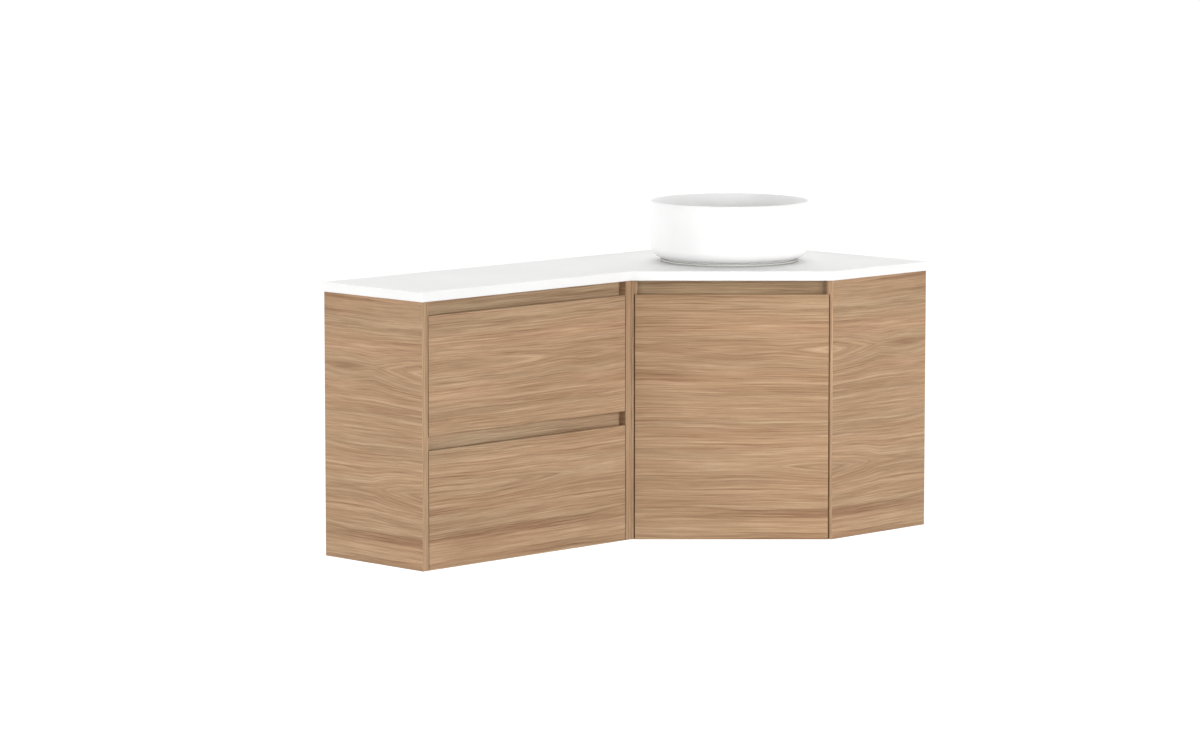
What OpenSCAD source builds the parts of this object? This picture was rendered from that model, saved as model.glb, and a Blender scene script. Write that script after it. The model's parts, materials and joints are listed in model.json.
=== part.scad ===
// Corner vanity unit: a wall-hung timber-faced cabinet made of two joined carcasses under one
// white benchtop. The left carcass holds two drawers, the corner carcass a cupboard behind a
// diagonal door, and a round basin with a pop-up waste stands on the benchtop.
// Origin: the inside corner of the two walls, level with the underside of the cabinet.
// X runs along the back wall towards that corner, Y runs towards the back wall, Z is up.

/* [Benchtop] */
// Length of the benchtop along the back wall
top_w = 1200; // [1000:10:1500]
// Length of the benchtop along the side wall
top_d = 600; // [560:10:680]
// Depth of the benchtop's two wings
wing_d = 300; // [270:5:330]
// Thickness of the benchtop
top_t = 20; // [12:1:40]
// How far the benchtop stands past the carcasses
overhang = 5; // [2:0.5:10]

/* [Carcass] */
// Height of both carcasses
body_h = 550; // [500:10:700]
// Thickness of the carcass boards
board = 16; // [15:1:18]
// Thickness of the back panels
back_t = 6; // [3:1:8]
// Depth of the grooves that hold the back panels
groove_d = 6; // [4:1:8]
// Height of the finger rails
rail_h = 70; // [66:2:74]
// Height of the hanging rails
hang_h = 100; // [80:5:120]
// How far the corner carcass's sides reach past the drawer front plane
end_lip = 3; // [2:0.5:5]

/* [Fronts] */
// Thickness of the drawer fronts and of the door
front_t = 16; // [15:1:18]
// Height of the finger gaps above the fronts
pull_gap = 30; // [24:1:36]
// Bevel on the back of each front's upper edge
pull_bevel = 10; // [4:1:12]
// Gap at each side of a drawer front
side_gap = 1.5; // [1:0.5:3]
// Gap between the door's bevelled edges and the carcass
door_gap = 2.75; // [2:0.25:4]
// Gap behind the closed fronts
stop_gap = 1.5; // [1:0.25:3]
// Diameter of the bumpers behind the fronts
bumper_d = 8; // [6:1:10]
// Distance of the lower bumpers from the lower edges of the fronts
bumper_in = 8; // [6:1:10]

/* [Drawers] */
// Space above the upper drawer's box, under the top finger rail
box_head = 5; // [4:1:20]
// Thickness of the drawer box boards
box_t = 12; // [10:1:15]
// Thickness of the drawer bases
base_t = 6; // [4:1:8]
// Height of a drawer base above the lower edge of its box
base_up = 8; // [6:1:12]
// Depth of the grooves that hold the drawer bases
base_groove = 5; // [3:1:6]
// Space under each drawer box
box_lift = 10; // [8:1:14]
// Thickness of the steel corner brackets in the drawers
bracket_t = 1.5; // [1:0.5:2]
// Length of the corner brackets' legs
bracket_leg = 20; // [15:1:25]
// Height of the corner brackets
bracket_h = 50; // [30:5:60]

/* [Slides] */
// Thickness of a closed slide
slide_w = 12.7; // [12.5:0.1:14]
// Height of a slide
slide_h = 45; // [42:1:50]
// Thickness of the slides' steel
slide_metal = 1.2; // [1:0.1:1.4]
// Height of the ball rows between the members
ball_rise = 2; // [1.6:0.1:2.4]
// Running clearance of the slides
slide_run = 0.3; // [0.2:0.05:0.4]
// Set-back of the slides behind the fronts
slide_back = 2; // [1:0.5:5]
// Space between the slides and the back panel
slide_space = 5; // [3:1:30]
// Diameter of the slides' screw holes
slide_hole = 4.5; // [4:0.5:6]
// Diameter of the holes in the mid members, which let a screwdriver through
slide_access = 11; // [9:0.5:13]
// Distance of the slides' outer screw holes from their ends
slide_screw_in = 35; // [25:1:45]

/* [Hinges] */
// Diameter of a hinge cup
cup_d = 35; // [26:1:35]
// Depth of a hinge cup in the door
cup_deep = 12.5; // [10:0.5:12.5]
// Centre of a hinge cup from the edge of the door's back
cup_in = 24; // [22:0.5:28]
// Thickness of a hinge cup's steel
cup_metal = 1; // [0.8:0.1:1.4]
// Width of the flange round a hinge cup
cup_rim = 2; // [1.5:0.5:3]
// Reach of a hinge cup's screw ears past the cup
ear_reach = 10; // [8:0.5:12]
// Width of a hinge cup's screw ears
ear_w = 12; // [9:0.5:14]
// Height of the lower hinge above the door's lower edge
hinge_low = 90; // [70:5:120]
// Distance of the upper hinge from the door's upper edge
hinge_top = 90; // [70:5:120]
// Width of a hinge arm
arm_w = 14; // [10:1:18]
// Thickness of a hinge arm
arm_t = 4; // [3:0.5:5]
// Thickness of the hinge arms' and links' steel
arm_metal = 1.2; // [1:0.1:1.6]
// Reach of the hinge links past the cups' centres
link_reach = 13; // [12:0.5:14]
// Width of the hinge links' ends
link_w = 9; // [8:0.5:10]
// How far the hinge links stand out of the cups
link_rise = 3; // [2:0.5:4]
// Thickness of a hinge's mounting plate
plate_t = 3; // [2:0.5:4]
// Length of a hinge's mounting plate
plate_l = 40; // [34:1:50]
// Height of a hinge's mounting plate
plate_h = 46; // [40:1:52]
// Set-back of the mounting plates behind the door
plate_back = 24; // [20:1:40]
// Width of the mounting plates' two wings
plate_wing = 16; // [13:1:18]
// Height of the rib along the middle of a mounting plate
plate_rib = 4; // [3:0.5:5]
// How far a mounting plate's rib stands out at each side of the arm
rib_edge = 2; // [1:0.5:3]
// Diameter of the screw holes in the hinges
hinge_screw = 5; // [4:0.5:6]
// Distance of the hinges' screw holes from the ends of the wings and ears
hinge_screw_in = 6; // [5:0.5:7]

/* [Basin] */
// Outside diameter of the basin
basin_d = 340; // [320:5:360]
// Height of the basin
basin_h = 130; // [110:5:150]
// Thickness of the basin's wall at the rim
basin_wall = 6; // [5:0.5:9]
// Radius of the basin's lower outside edge
basin_edge = 30; // [22:1:36]
// Radius inside, between the basin's wall and floor
basin_inner = 34; // [26:1:40]
// Diameter of the foot ring
foot_d = 296; // [270:2:300]
// Width of the foot ring
foot_w = 18; // [12:1:24]
// Height of the foot ring
foot_h = 7; // [5:0.5:9]
// Thickness of the basin's floor at its outer edge
floor_t = 10; // [8:0.5:14]
// Fall of the basin's floor to the waste
floor_fall = 2.5; // [1.5:0.5:4]
// Distance of the basin's centre from each wall
basin_in = 286; // [270:1:300]
// Width and height of the sealant bead inside the foot ring
bead = 4; // [3:0.5:6]

/* [Waste] */
// Diameter of the waste's threaded tail
tail_d = 41.9; // [38:0.1:44]
// Bore of the waste
waste_bore = 34; // [30:0.5:36]
// Length of the plain end of the tail, where a trap is fitted
tail_l = 30; // [20:1:40]
// Length of the thread that shows under the nut
thread_l = 20; // [12:1:30]
// Diameter of the holes in the basin and the benchtop for the waste
waste_hole = 45; // [44.5:0.5:48]
// Diameter of the waste's flange
flange_d = 64; // [60:1:70]
// Thickness of the waste's flange
flange_t = 3; // [2:0.5:4]
// Gap between the flange and its recess
flange_gap = 1; // [0.5:0.5:2]
// Thickness of the washer under the flange
washer_t = 1.5; // [1:0.5:3]
// Thickness of the washer under the benchtop
under_t = 4; // [3:0.5:6]
// Diameter of the washer under the benchtop
under_d = 62; // [56:1:70]
// Thickness of the backnut
nut_t = 10; // [8:1:14]
// Width of the backnut across its flats
nut_af = 55; // [50:1:60]
// Diameter of the pop-up plug's cap
plug_d = 60; // [54:1:64]
// Thickness of the pop-up plug's cap at its edge
plug_t = 2.5; // [2:0.5:4]
// Rise of the plug's cap at its centre
plug_dome = 3; // [2:0.5:5]
// Diameter of the plug's stem
stem_d = 9; // [7:0.5:11]
// Height of the guide round the plug's stem
hub_h = 14; // [10:1:18]
// Wall of the guide round the plug's stem
hub_wall = 4; // [3:0.5:5]
// Thickness of the guide's three spokes
spoke_t = 3; // [2:0.5:4]
// How far the plug's cap covers the edge of the flange's mouth
plug_lap = 6; // [4:0.5:8]
// Thickness of the sealing ring under the plug's cap
seal_t = 2.5; // [2:0.5:4]
// Clearance between sliding and stacked waste pieces
waste_run = 0.3; // [0.2:0.05:0.5]

/* [Fixings] */
// Diameter of the wall screw holes
screw_hole = 6; // [5:0.5:8]
// Distance between the two wall screws of a hanging rail
screw_span = 400; // [300:10:440]
// Diameter of the bolts that join the carcasses
joiner_d = 8; // [6:0.5:10]
// Diameter of the joining bolts' heads
joiner_head = 15; // [12:0.5:18]
// Thickness of the joining bolts' heads
joiner_cap = 2; // [1:0.5:3]
// Distance of the joining bolts from the carcass's front, back, top and bottom
joiner_in = 60; // [50:5:70]
// Width of the service cut-out behind the cupboard
service_w = 220; // [160:10:300]
// Height of the service cut-out
service_h = 160; // [100:10:200]
// Height of the service cut-out above the cupboard's floor
service_up = 150; // [100:10:200]

/* [Hidden] */

root2 = sqrt(2);
fit = 0.2;                       // clearance of a panel in its groove
slip = 0.3;                      // gap between a moving piece and its seat
sink = 0.1;                      // overlap that joins two shapes of one piece
cut = 1;                         // how far a cutting shape passes the face that it cuts

// Plan of the carcasses
corner_w = top_d - overhang;     // outside length of the corner carcass on each wall
wing = wing_d - overhang;        // depth of both carcasses
left_x = -(top_w - overhang);    // outer face of the drawer carcass
join_x = -corner_w;              // where the two carcasses meet
bay_l = left_x + board;          // inner faces of the drawer carcass
bay_r = join_x - board;
front_back = -wing + front_t;    // back faces of the drawer fronts
stop_y = front_back + stop_gap;  // front of the rails and of the bottom
back_y = -board - back_t;        // inner face of a back panel
panel_end = wing + end_lip;      // length of the corner carcass's sides

// Diagonal of the door, in a frame on its front face with X along it and Y into the cupboard
door_s = corner_w + wing;        // the door plane is where x + y = -door_s
half_span = (corner_w - wing) / root2;
door_half = half_span - (end_lip + door_gap) * root2;
door_stop = front_t + stop_gap;

// Heights of the fronts
front_h = (body_h - 2 * pull_gap) / 2;
upper_z = front_h + pull_gap;    // lower edge of the upper front
door_h = body_h - pull_gap;
mid_rail_z = front_h + pull_gap / 2 - rail_h / 2;
upper_box_z = mid_rail_z + rail_h + box_lift;
lower_box_z = board + box_lift;
box_h = body_h - rail_h - box_head - upper_box_z;
bumper_t = stop_gap - slip;
bumper_down = pull_bevel + bumper_d / 2;         // upper bumpers below the edges of the fronts
upper_bumper_z = [upper_z + bumper_in, upper_z + front_h - bumper_down];
lower_bumper_z = [bumper_in, front_h - bumper_down];

// Heights of the benchtop, the basin and the waste
top_z = body_h + top_t;
basin_floor = foot_h + floor_t;                  // inside floor at its outer edge
waste_floor = basin_floor - floor_fall;          // inside floor at the waste
flange_z = top_z + waste_floor - flange_t;       // underside of the flange
recess_z = waste_floor - flange_t - washer_t;    // bottom of the flange's recess
basin_r = basin_d / 2;
nut_z = body_h - under_t - nut_t;
thread_z = nut_z - thread_l;                     // lower end of the thread
groove_l = 2;                                    // relief groove between thread and tail
tail_z = thread_z - groove_l - tail_l;

timber = [0.72, 0.59, 0.47];
shade = [0.60, 0.49, 0.38];
carcass_white = [0.93, 0.93, 0.92];
steel = [0.70, 0.71, 0.73];
chrome = [0.85, 0.86, 0.88];
rubber = [0.15, 0.15, 0.15];

// ---------- shared shapes ----------

// A square-edged board between two opposite corners
module block(lo, hi) {
    translate(lo) cube(hi - lo);
}

// The frame of the diagonal door
module at_door() {
    translate([-door_s / 2, -door_s / 2, 0]) rotate([0, 0, -45]) children();
}

// A flat profile drawn in Y and Z, run from x = 0 to x = w
module run_x(w) {
    rotate([90, 0, 90]) linear_extrude(w) children();
}

// Half-width of the cupboard behind the door, at depth y in the door's frame
function bay_half(y) = half_span - board * root2 + y;

// The two wall screw positions of a hanging rail, from its middle
module screw_pair() {
    for (s = [-1, 1]) translate([s * screw_span / 2, 0, 0]) children();
}

// ---------- benchtop ----------

bench_plan = [[-top_w, 0], [0, 0], [0, -top_d], [-wing_d, -top_d],
              [-top_d, -wing_d], [-top_w, -wing_d]];

module benchtop() {
    color([0.96, 0.96, 0.95])
    difference() {
        translate([0, 0, body_h]) linear_extrude(top_t) polygon(bench_plan);
        translate([-basin_in, -basin_in, body_h - cut])
            cylinder(d = waste_hole, h = top_t + 2 * cut, $fn = 96);
    }
}

// ---------- basin and waste ----------

// Half section of the solid basin up to the middle of its rounded rim
module basin_outside(rim_z) {
    translate([0, foot_h + basin_edge]) square([basin_r, rim_z - foot_h - basin_edge]);
    translate([0, foot_h]) square([basin_r - basin_edge, basin_edge + sink]);
    translate([basin_r - basin_edge, foot_h + basin_edge]) circle(basin_edge, $fn = 96);
    translate([foot_d / 2 - foot_w, 0]) square([foot_w, foot_h + floor_t / 2]);
    square([flange_d / 2 + basin_wall, foot_h + sink]);
}

// Half section of the bowl
module basin_bowl(rim_z) {
    bowl_r = basin_r - basin_wall;
    knee = bowl_r - basin_inner;
    translate([0, basin_floor + basin_inner]) square([bowl_r, rim_z - basin_floor - basin_inner + cut]);
    translate([knee, basin_floor + basin_inner]) circle(basin_inner, $fn = 96);
    translate([0, basin_floor]) square([knee, basin_inner + sink]);
    polygon([[0, basin_floor + sink], [0, waste_floor], [flange_d / 2, waste_floor],
             [knee, basin_floor], [knee, basin_floor + sink]]);
    translate([0, recess_z]) square([flange_d / 2 + flange_gap, basin_floor - recess_z]);
    translate([0, -cut]) square([waste_hole / 2, basin_floor]);
}

module basin() {
    lip = basin_wall / 2;
    rim_z = basin_h - lip;
    color("white")
    translate([-basin_in, -basin_in, top_z])
        rotate_extrude($fn = 180) {
            difference() {
                basin_outside(rim_z);
                basin_bowl(rim_z);
            }
            translate([basin_r - lip, rim_z]) circle(lip, $fn = 48);
        }
}

// Sealant between the benchtop and the inside of the foot ring
module basin_bead() {
    outer = foot_d / 2 - foot_w;
    color("white")
    translate([-basin_in, -basin_in, top_z])
        rotate_extrude($fn = 120)
            polygon([[outer, 0], [outer, bead], [outer - bead, 0]]);
}

// A ring round the basin's axis
module waste_ring(z, outer_d, inner_d, h) {
    translate([-basin_in, -basin_in, z])
        difference() {
            cylinder(d = outer_d, h = h, $fn = 96);
            translate([0, 0, -cut]) cylinder(d = inner_d, h = h + 2 * cut, $fn = 96);
        }
}

hub_z = nut_z;                   // lower face of the stem's guide
stem_z = hub_z - plug_lap;       // lower end of the plug's stem

module waste_body() {
    seat_d = plug_d - 2 * plug_lap;              // mouth of the flange
    hub_d = stem_d + 2 * hub_wall;
    color(chrome)
    translate([-basin_in, -basin_in, 0]) {
        difference() {
            union() {
                translate([0, 0, flange_z]) cylinder(d = flange_d, h = flange_t, $fn = 96);
                translate([0, 0, thread_z])
                    cylinder(d = tail_d, h = flange_z - thread_z + sink, $fn = 96);
                translate([0, 0, tail_z])
                    cylinder(d = tail_d - groove_l, h = tail_l + groove_l + sink, $fn = 96);
                translate([0, 0, tail_z]) cylinder(d = tail_d, h = tail_l, $fn = 96);
            }
            translate([0, 0, tail_z - cut])
                cylinder(d = waste_bore, h = flange_z - tail_z + 2 * cut, $fn = 96);
            translate([0, 0, flange_z])
                cylinder(d1 = waste_bore, d2 = seat_d, h = flange_t + fit, $fn = 96);
        }
        // guide of the plug's stem, on three spokes
        difference() {
            union() {
                translate([0, 0, hub_z]) cylinder(d = hub_d, h = hub_h, $fn = 64);
                for (a = [90, 210, 330]) rotate([0, 0, a])
                    translate([0, -spoke_t / 2, hub_z]) cube([waste_bore / 2 + cut, spoke_t, hub_h / 2]);
            }
            translate([0, 0, hub_z - cut])
                cylinder(d = stem_d + 2 * waste_run, h = hub_h + 2 * cut, $fn = 64);
        }
    }
}

module flange_washer() {
    color(rubber) waste_ring(top_z + recess_z, flange_d - 2 * flange_gap, tail_d + 2 * waste_run, washer_t);
}

module under_washer() {
    color(rubber) waste_ring(body_h - under_t, under_d, tail_d + 2 * waste_run, under_t);
}

module waste_nut() {
    color(chrome)
    translate([-basin_in, -basin_in, nut_z])
        difference() {
            cylinder(d = nut_af / cos(30), h = nut_t, $fn = 6);
            translate([0, 0, -cut]) cylinder(d = tail_d + 2 * waste_run, h = nut_t + 2 * cut, $fn = 96);
        }
}

cap_z = flange_z + flange_t + waste_run;  // underside of the closed plug's cap

// Domed cap: a disc with a ball's upper slice on it
module plug_cap() {
    dome_r = (pow(plug_d / 2, 2) + pow(plug_dome, 2)) / (2 * plug_dome);
    color(chrome)
    translate([-basin_in, -basin_in, cap_z]) {
        cylinder(d = plug_d, h = plug_t, $fn = 96);
        intersection() {
            translate([0, 0, plug_t + plug_dome - dome_r]) sphere(dome_r, $fn = 180);
            translate([0, 0, plug_t - sink]) cylinder(d = plug_d, h = plug_dome + 2 * cut, $fn = 96);
        }
    }
}

module plug_stem() {
    color(steel)
    translate([-basin_in, -basin_in, 0]) {
        translate([0, 0, stem_z]) cylinder(d = stem_d, h = cap_z - stem_z, $fn = 48);
    }
}

// Sealing ring under the plug's cap, round the stem
module plug_seal() {
    color(rubber)
    translate([-basin_in, -basin_in, cap_z - seal_t])
        difference() {
            cylinder(d1 = waste_bore - seal_t, d2 = waste_bore, h = seal_t, $fn = 96);
            translate([0, 0, -cut]) cylinder(d = stem_d, h = seal_t + 2 * cut, $fn = 48);
        }
}

// ---------- drawer carcass ----------

joiner_y = [-joiner_in, -wing + joiner_in];
joiner_z = [joiner_in, body_h - joiner_in];

// Bores for the joining bolts, through both carcasses
module joiner_bores() {
    for (y = joiner_y, z = joiner_z)
        translate([join_x - board - cut, y, z]) rotate([0, 90, 0])
            cylinder(d = joiner_d + fit, h = 2 * board + 2 * cut, $fn = 48);
}

module drawer_unit_side(x, groove_x) {
    difference() {
        block([x, -wing, 0], [x + board, 0, body_h]);
        block([groove_x, back_y - fit, board - groove_d], [groove_x + groove_d, -board, body_h + cut]);
    }
}

module drawer_unit_left_side() {
    color(timber) drawer_unit_side(left_x, bay_l - groove_d);
}

module drawer_unit_right_side() {
    color(timber)
    difference() {
        drawer_unit_side(bay_r, bay_r);
        joiner_bores();
    }
}

module drawer_unit_bottom() {
    color(timber)
    difference() {
        block([bay_l, stop_y, 0], [bay_r, 0, board]);
        block([bay_l - cut, back_y - fit, board - groove_d], [bay_r + cut, -board, board + cut]);
    }
}

// Wall screw holes along Y, through a hanging rail and its back panel
module back_screw_holes(mid_x) {
    translate([mid_x, back_y - cut, body_h - hang_h / 2]) screw_pair()
        rotate([-90, 0, 0]) cylinder(d = screw_hole, h = board + back_t + 2 * cut, $fn = 48);
}

module drawer_unit_back() {
    color(carcass_white)
    difference() {
        block([bay_l - groove_d + fit, back_y, board - groove_d + fit],
              [bay_r + groove_d - fit, -board, body_h]);
        back_screw_holes((bay_l + bay_r) / 2);
    }
}

module drawer_unit_hanging_rail() {
    color(carcass_white)
    difference() {
        block([bay_l, -board, body_h - hang_h], [bay_r, 0, body_h]);
        back_screw_holes((bay_l + bay_r) / 2);
    }
}

module drawer_unit_top_rail() {
    color(shade) block([bay_l, stop_y, body_h - rail_h], [bay_r, stop_y + board, body_h]);
}

module drawer_unit_mid_rail() {
    color(shade) block([bay_l, stop_y, mid_rail_z], [bay_r, stop_y + board, mid_rail_z + rail_h]);
}

// ---------- corner carcass ----------

// Side of the corner carcass against the drawer carcass. Its front end is square, and the
// outer corner is chamfered level with the door.
module corner_unit_left_side() {
    color(timber)
    difference() {
        linear_extrude(body_h)
            polygon([[join_x, 0], [join_x, -wing], [join_x + end_lip, -panel_end],
                     [join_x + board, -panel_end], [join_x + board, 0]]);
        block([join_x + board - groove_d, back_y - fit, board - groove_d],
              [join_x + board + cut, -board, body_h + cut]);
        joiner_bores();
    }
}

// The free end of the unit, the left side's mirror image in the diagonal
module corner_unit_end_panel() {
    color(timber)
    difference() {
        linear_extrude(body_h)
            polygon([[0, join_x], [-wing, join_x], [-panel_end, join_x + end_lip],
                     [-panel_end, join_x + board], [0, join_x + board]]);
        block([back_y - fit, join_x + board - groove_d, board - groove_d],
              [-board, join_x + board + cut, body_h + cut]);
    }
}

bay_x = join_x + board;          // inner face of the corner carcass's sides
floor_tip = -door_s + door_stop * root2 - bay_x;  // where the floor's front meets a side

module corner_unit_bottom() {
    color(timber)
    difference() {
        linear_extrude(board)
            polygon([[0, 0], [bay_x, 0], [bay_x, floor_tip], [floor_tip, bay_x], [0, bay_x]]);
        block([bay_x - cut, back_y - fit, board - groove_d], [-board, -board, board + cut]);
        block([back_y - fit, bay_x - cut, board - groove_d], [-board, -board, board + cut]);
    }
}

corner_mid = (bay_x - board) / 2;

module corner_unit_back() {
    color(carcass_white)
    difference() {
        block([bay_x - groove_d + fit, back_y, board - groove_d + fit], [-board, -board, body_h]);
        back_screw_holes(corner_mid);
        block([corner_mid - service_w / 2, back_y - cut, board + service_up],
              [corner_mid + service_w / 2, -board + cut, board + service_up + service_h]);
    }
}

// Wall screw holes along X, through the side wall's rail and back panel
module side_screw_holes() {
    translate([back_y - cut, corner_mid, body_h - hang_h / 2]) rotate([0, 90, 0])
        for (s = [-1, 1]) translate([0, s * screw_span / 2, 0])
            cylinder(d = screw_hole, h = board + back_t + 2 * cut, $fn = 48);
}

module corner_unit_side_back() {
    color(carcass_white)
    difference() {
        block([back_y, bay_x - groove_d + fit, board - groove_d + fit], [-board, back_y, body_h]);
        side_screw_holes();
    }
}

module corner_unit_hanging_rail() {
    color(carcass_white)
    difference() {
        block([bay_x, -board, body_h - hang_h], [-board, 0, body_h]);
        back_screw_holes(corner_mid);
    }
}

module corner_unit_side_hanging_rail() {
    color(carcass_white)
    difference() {
        block([-board, bay_x, body_h - hang_h], [0, 0, body_h]);
        side_screw_holes();
    }
}

// Finger rail over the door, mitred to the carcass's sides
module corner_unit_door_rail() {
    near = door_stop;
    far = door_stop + board;
    color(shade)
    at_door() translate([0, 0, body_h - rail_h]) linear_extrude(rail_h)
        polygon([[-bay_half(near), near], [bay_half(near), near],
                 [bay_half(far), far], [-bay_half(far), far]]);
}

module joining_bolts() {
    color(steel)
    for (y = joiner_y, z = joiner_z)
        translate([join_x, y, z]) rotate([0, 90, 0]) {
            translate([0, 0, -board]) cylinder(d = joiner_d, h = 2 * board, $fn = 48);
            for (s = [0, 1]) mirror([0, 0, s])
                translate([0, 0, board]) cylinder(d = joiner_head, h = joiner_cap, $fn = 48);
        }
}

// ---------- slides ----------

outer_in = slide_h / 2 - slide_metal;            // half-heights of the members' faces
mid_out = outer_in - slide_run - ball_rise;
mid_in = mid_out - slide_metal;
inner_out = mid_in - ball_rise - slide_run;
mid_web = slide_w * 0.32;                        // the mid member's web from the carcass
lip_in = slide_w * 0.72;                         // reach of the outer member's flanges
ball_r = ball_rise / 2 + sink;
slide_y = front_back + slide_back;
slide_l = back_y - slide_space - slide_y;        // length of the slides
slide_screws = [slide_screw_in, slide_l / 2, slide_l - slide_screw_in];

// Closes an outline whose upper half is given, by mirroring it in the X axis
module both_halves(upper) {
    lower = [for (i = [len(upper) - 1:-1:0]) [upper[i][0], -upper[i][1]]];
    polygon(concat(upper, lower));
}

module outer_slide_profile() {
    lip = outer_in - slide_metal / 2;
    both_halves([[0, slide_h / 2], [lip_in, slide_h / 2], [lip_in, lip], [lip_in - slide_metal, lip],
                 [lip_in - slide_metal, outer_in], [slide_metal, outer_in]]);
}

// The rounded ribs stand for the rows of balls that run between the members
module mid_slide_profile() {
    ball_x = (mid_web + lip_in) / 2;
    translate([mid_web, -mid_out]) square([slide_metal, 2 * mid_out]);
    for (s = [0, 1]) mirror([0, s]) {
        translate([mid_web, mid_in]) square([lip_in - mid_web, slide_metal]);
        translate([ball_x - slide_metal / 2, mid_out + ball_rise - ball_r]) circle(ball_r, $fn = 24);
        translate([ball_x + slide_metal, mid_in - ball_rise + ball_r]) circle(ball_r, $fn = 24);
    }
}

module inner_slide_profile() {
    near = mid_web + slide_metal + 2 * slide_run;
    inner_in = inner_out - slide_metal;
    both_halves([[slide_w, inner_out], [near, inner_out], [near, inner_in],
                 [slide_w - slide_metal, inner_in]]);
}

// Runs a slide's profile from front to back, with holes through its web. The left slides'
// profiles point right.
module slide(side, z, hole = slide_hole) {
    color(steel)
    translate([side < 0 ? bay_l : bay_r, slide_y, z + box_h / 2])
        mirror([side < 0 ? 0 : 1, 0, 0])
            difference() {
                rotate([90, 0, 0]) translate([0, 0, -slide_l]) linear_extrude(slide_l) children();
                for (y = slide_screws) translate([-cut, y, 0]) rotate([0, 90, 0])
                    cylinder(d = hole, h = slide_w + 2 * cut, $fn = 48);
            }
}

// ---------- drawers ----------

box_l = bay_l + slide_w;         // outer faces of a drawer box
box_r = bay_r - slide_w;
box_back = slide_y + slide_l - slide_back;       // rear end of a drawer box

// A drawer front: the bevel behind its upper edge is the finger pull
module drawer_front(z, box_z) {
    color(timber)
    difference() {
        translate([bay_l + side_gap, -wing, z]) run_x(bay_r - bay_l - 2 * side_gap)
            polygon([[0, 0], [front_t, 0], [front_t, front_h - pull_bevel],
                     [front_t - pull_bevel, front_h], [0, front_h]]);
        block([box_l + box_t - base_groove, front_back - base_groove, box_z + base_up - fit],
              [box_r - box_t + base_groove, front_back + cut, box_z + base_up + base_t + fit]);
    }
}

module drawer_side(x, groove_x, box_z) {
    color(carcass_white)
    difference() {
        block([x, front_back, box_z], [x + box_t, box_back, box_z + box_h]);
        block([groove_x, front_back - cut, box_z + base_up - fit],
              [groove_x + base_groove, box_back + cut, box_z + base_up + base_t + fit]);
    }
}

module drawer_left_side(box_z) {
    drawer_side(box_l, box_l + box_t - base_groove, box_z);
}

module drawer_right_side(box_z) {
    drawer_side(box_r - box_t, box_r - box_t, box_z);
}

module drawer_back(box_z) {
    color(carcass_white)
    block([box_l + box_t, box_back - box_t, box_z + base_up + base_t],
          [box_r - box_t, box_back, box_z + box_h]);
}

module drawer_base(box_z) {
    color(carcass_white)
    block([box_l + box_t - base_groove + fit, front_back - base_groove + fit, box_z + base_up],
          [box_r - box_t + base_groove - fit, box_back, box_z + base_up + base_t]);
}

// Two steel angles in the front corners of a drawer
module drawer_brackets(box_z) {
    z = box_z + box_h / 2;
    color(steel)
    for (side = [-1, 1])
        translate([side < 0 ? box_l + box_t : box_r - box_t, front_back, z])
            mirror([side < 0 ? 0 : 1, 0, 0])
                linear_extrude(bracket_h)
                    polygon([[0, 0], [bracket_leg, 0], [bracket_leg, bracket_t],
                             [bracket_t, bracket_t], [bracket_t, bracket_leg], [0, bracket_leg]]);
}

// Four soft bumpers on the back of a drawer front
module drawer_bumpers(heights) {
    in = bumper_d * 2;
    color([0.9, 0.9, 0.9])
    for (x = [bay_l + in, bay_r - in], z = heights)
        translate([x, front_back, z]) rotate([-90, 0, 0]) cylinder(d = bumper_d, h = bumper_t, $fn = 48);
}

// ---------- door ----------

cup_x = door_half - front_t - cup_in;            // hinge cups along the door
hinge_z = [hinge_low, door_h - hinge_top];
flange = cup_metal;                              // rim of a cup on the door's back
link_top = front_t + flange + link_rise;         // where the links meet the arms

module door() {
    color(timber)
    difference() {
        at_door() linear_extrude(door_h)
            polygon([[-door_half, 0], [door_half, 0],
                     [door_half - front_t, front_t], [-door_half + front_t, front_t]]);
        at_door() translate([-door_half - cut, 0, door_h]) run_x(2 * door_half + 2 * cut)
            polygon([[front_t + cut, cut], [front_t + cut, -pull_bevel - cut],
                     [front_t - pull_bevel - cut, cut]]);
        at_door() for (z = hinge_z)
            translate([cup_x, front_t + cut, z]) rotate([90, 0, 0])
                cylinder(d = cup_d, h = cup_deep + cut, $fn = 96);
    }
}

module door_bumpers() {
    color([0.9, 0.9, 0.9])
    at_door() for (z = [bumper_in, door_h - bumper_down])
        translate([-door_half + front_t + bumper_d, front_t, z]) rotate([-90, 0, 0])
            cylinder(d = bumper_d, h = bumper_t, $fn = 48);
}

// Steel cups let into the door, each with a flange and two screw ears
module hinge_cups() {
    ear = cup_d / 2 + ear_reach;
    color(steel)
    at_door() for (z = hinge_z)
        translate([cup_x, front_t, z]) rotate([-90, 0, 0])
            difference() {
                union() {
                    translate([0, 0, fit - cup_deep]) cylinder(d = cup_d - fit, h = cup_deep - fit, $fn = 96);
                    cylinder(d = cup_d + 2 * cup_rim, h = flange, $fn = 96);
                    translate([-ear_w / 2, hinge_screw_in - ear, 0])
                        cube([ear_w, 2 * (ear - hinge_screw_in), flange]);
                    for (s = [-1, 1]) translate([0, s * (ear - hinge_screw_in), 0])
                        cylinder(d = ear_w, h = flange, $fn = 48);
                }
                for (s = [-1, 1]) translate([0, s * (ear - hinge_screw_in), -cut])
                    cylinder(d = hinge_screw, h = flange + 2 * cut, $fn = 48);
                translate([0, 0, cup_metal + fit - cup_deep])
                    cylinder(d = cup_d - fit - 2 * cup_metal, h = cup_deep + flange, $fn = 96);
            }
}

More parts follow.
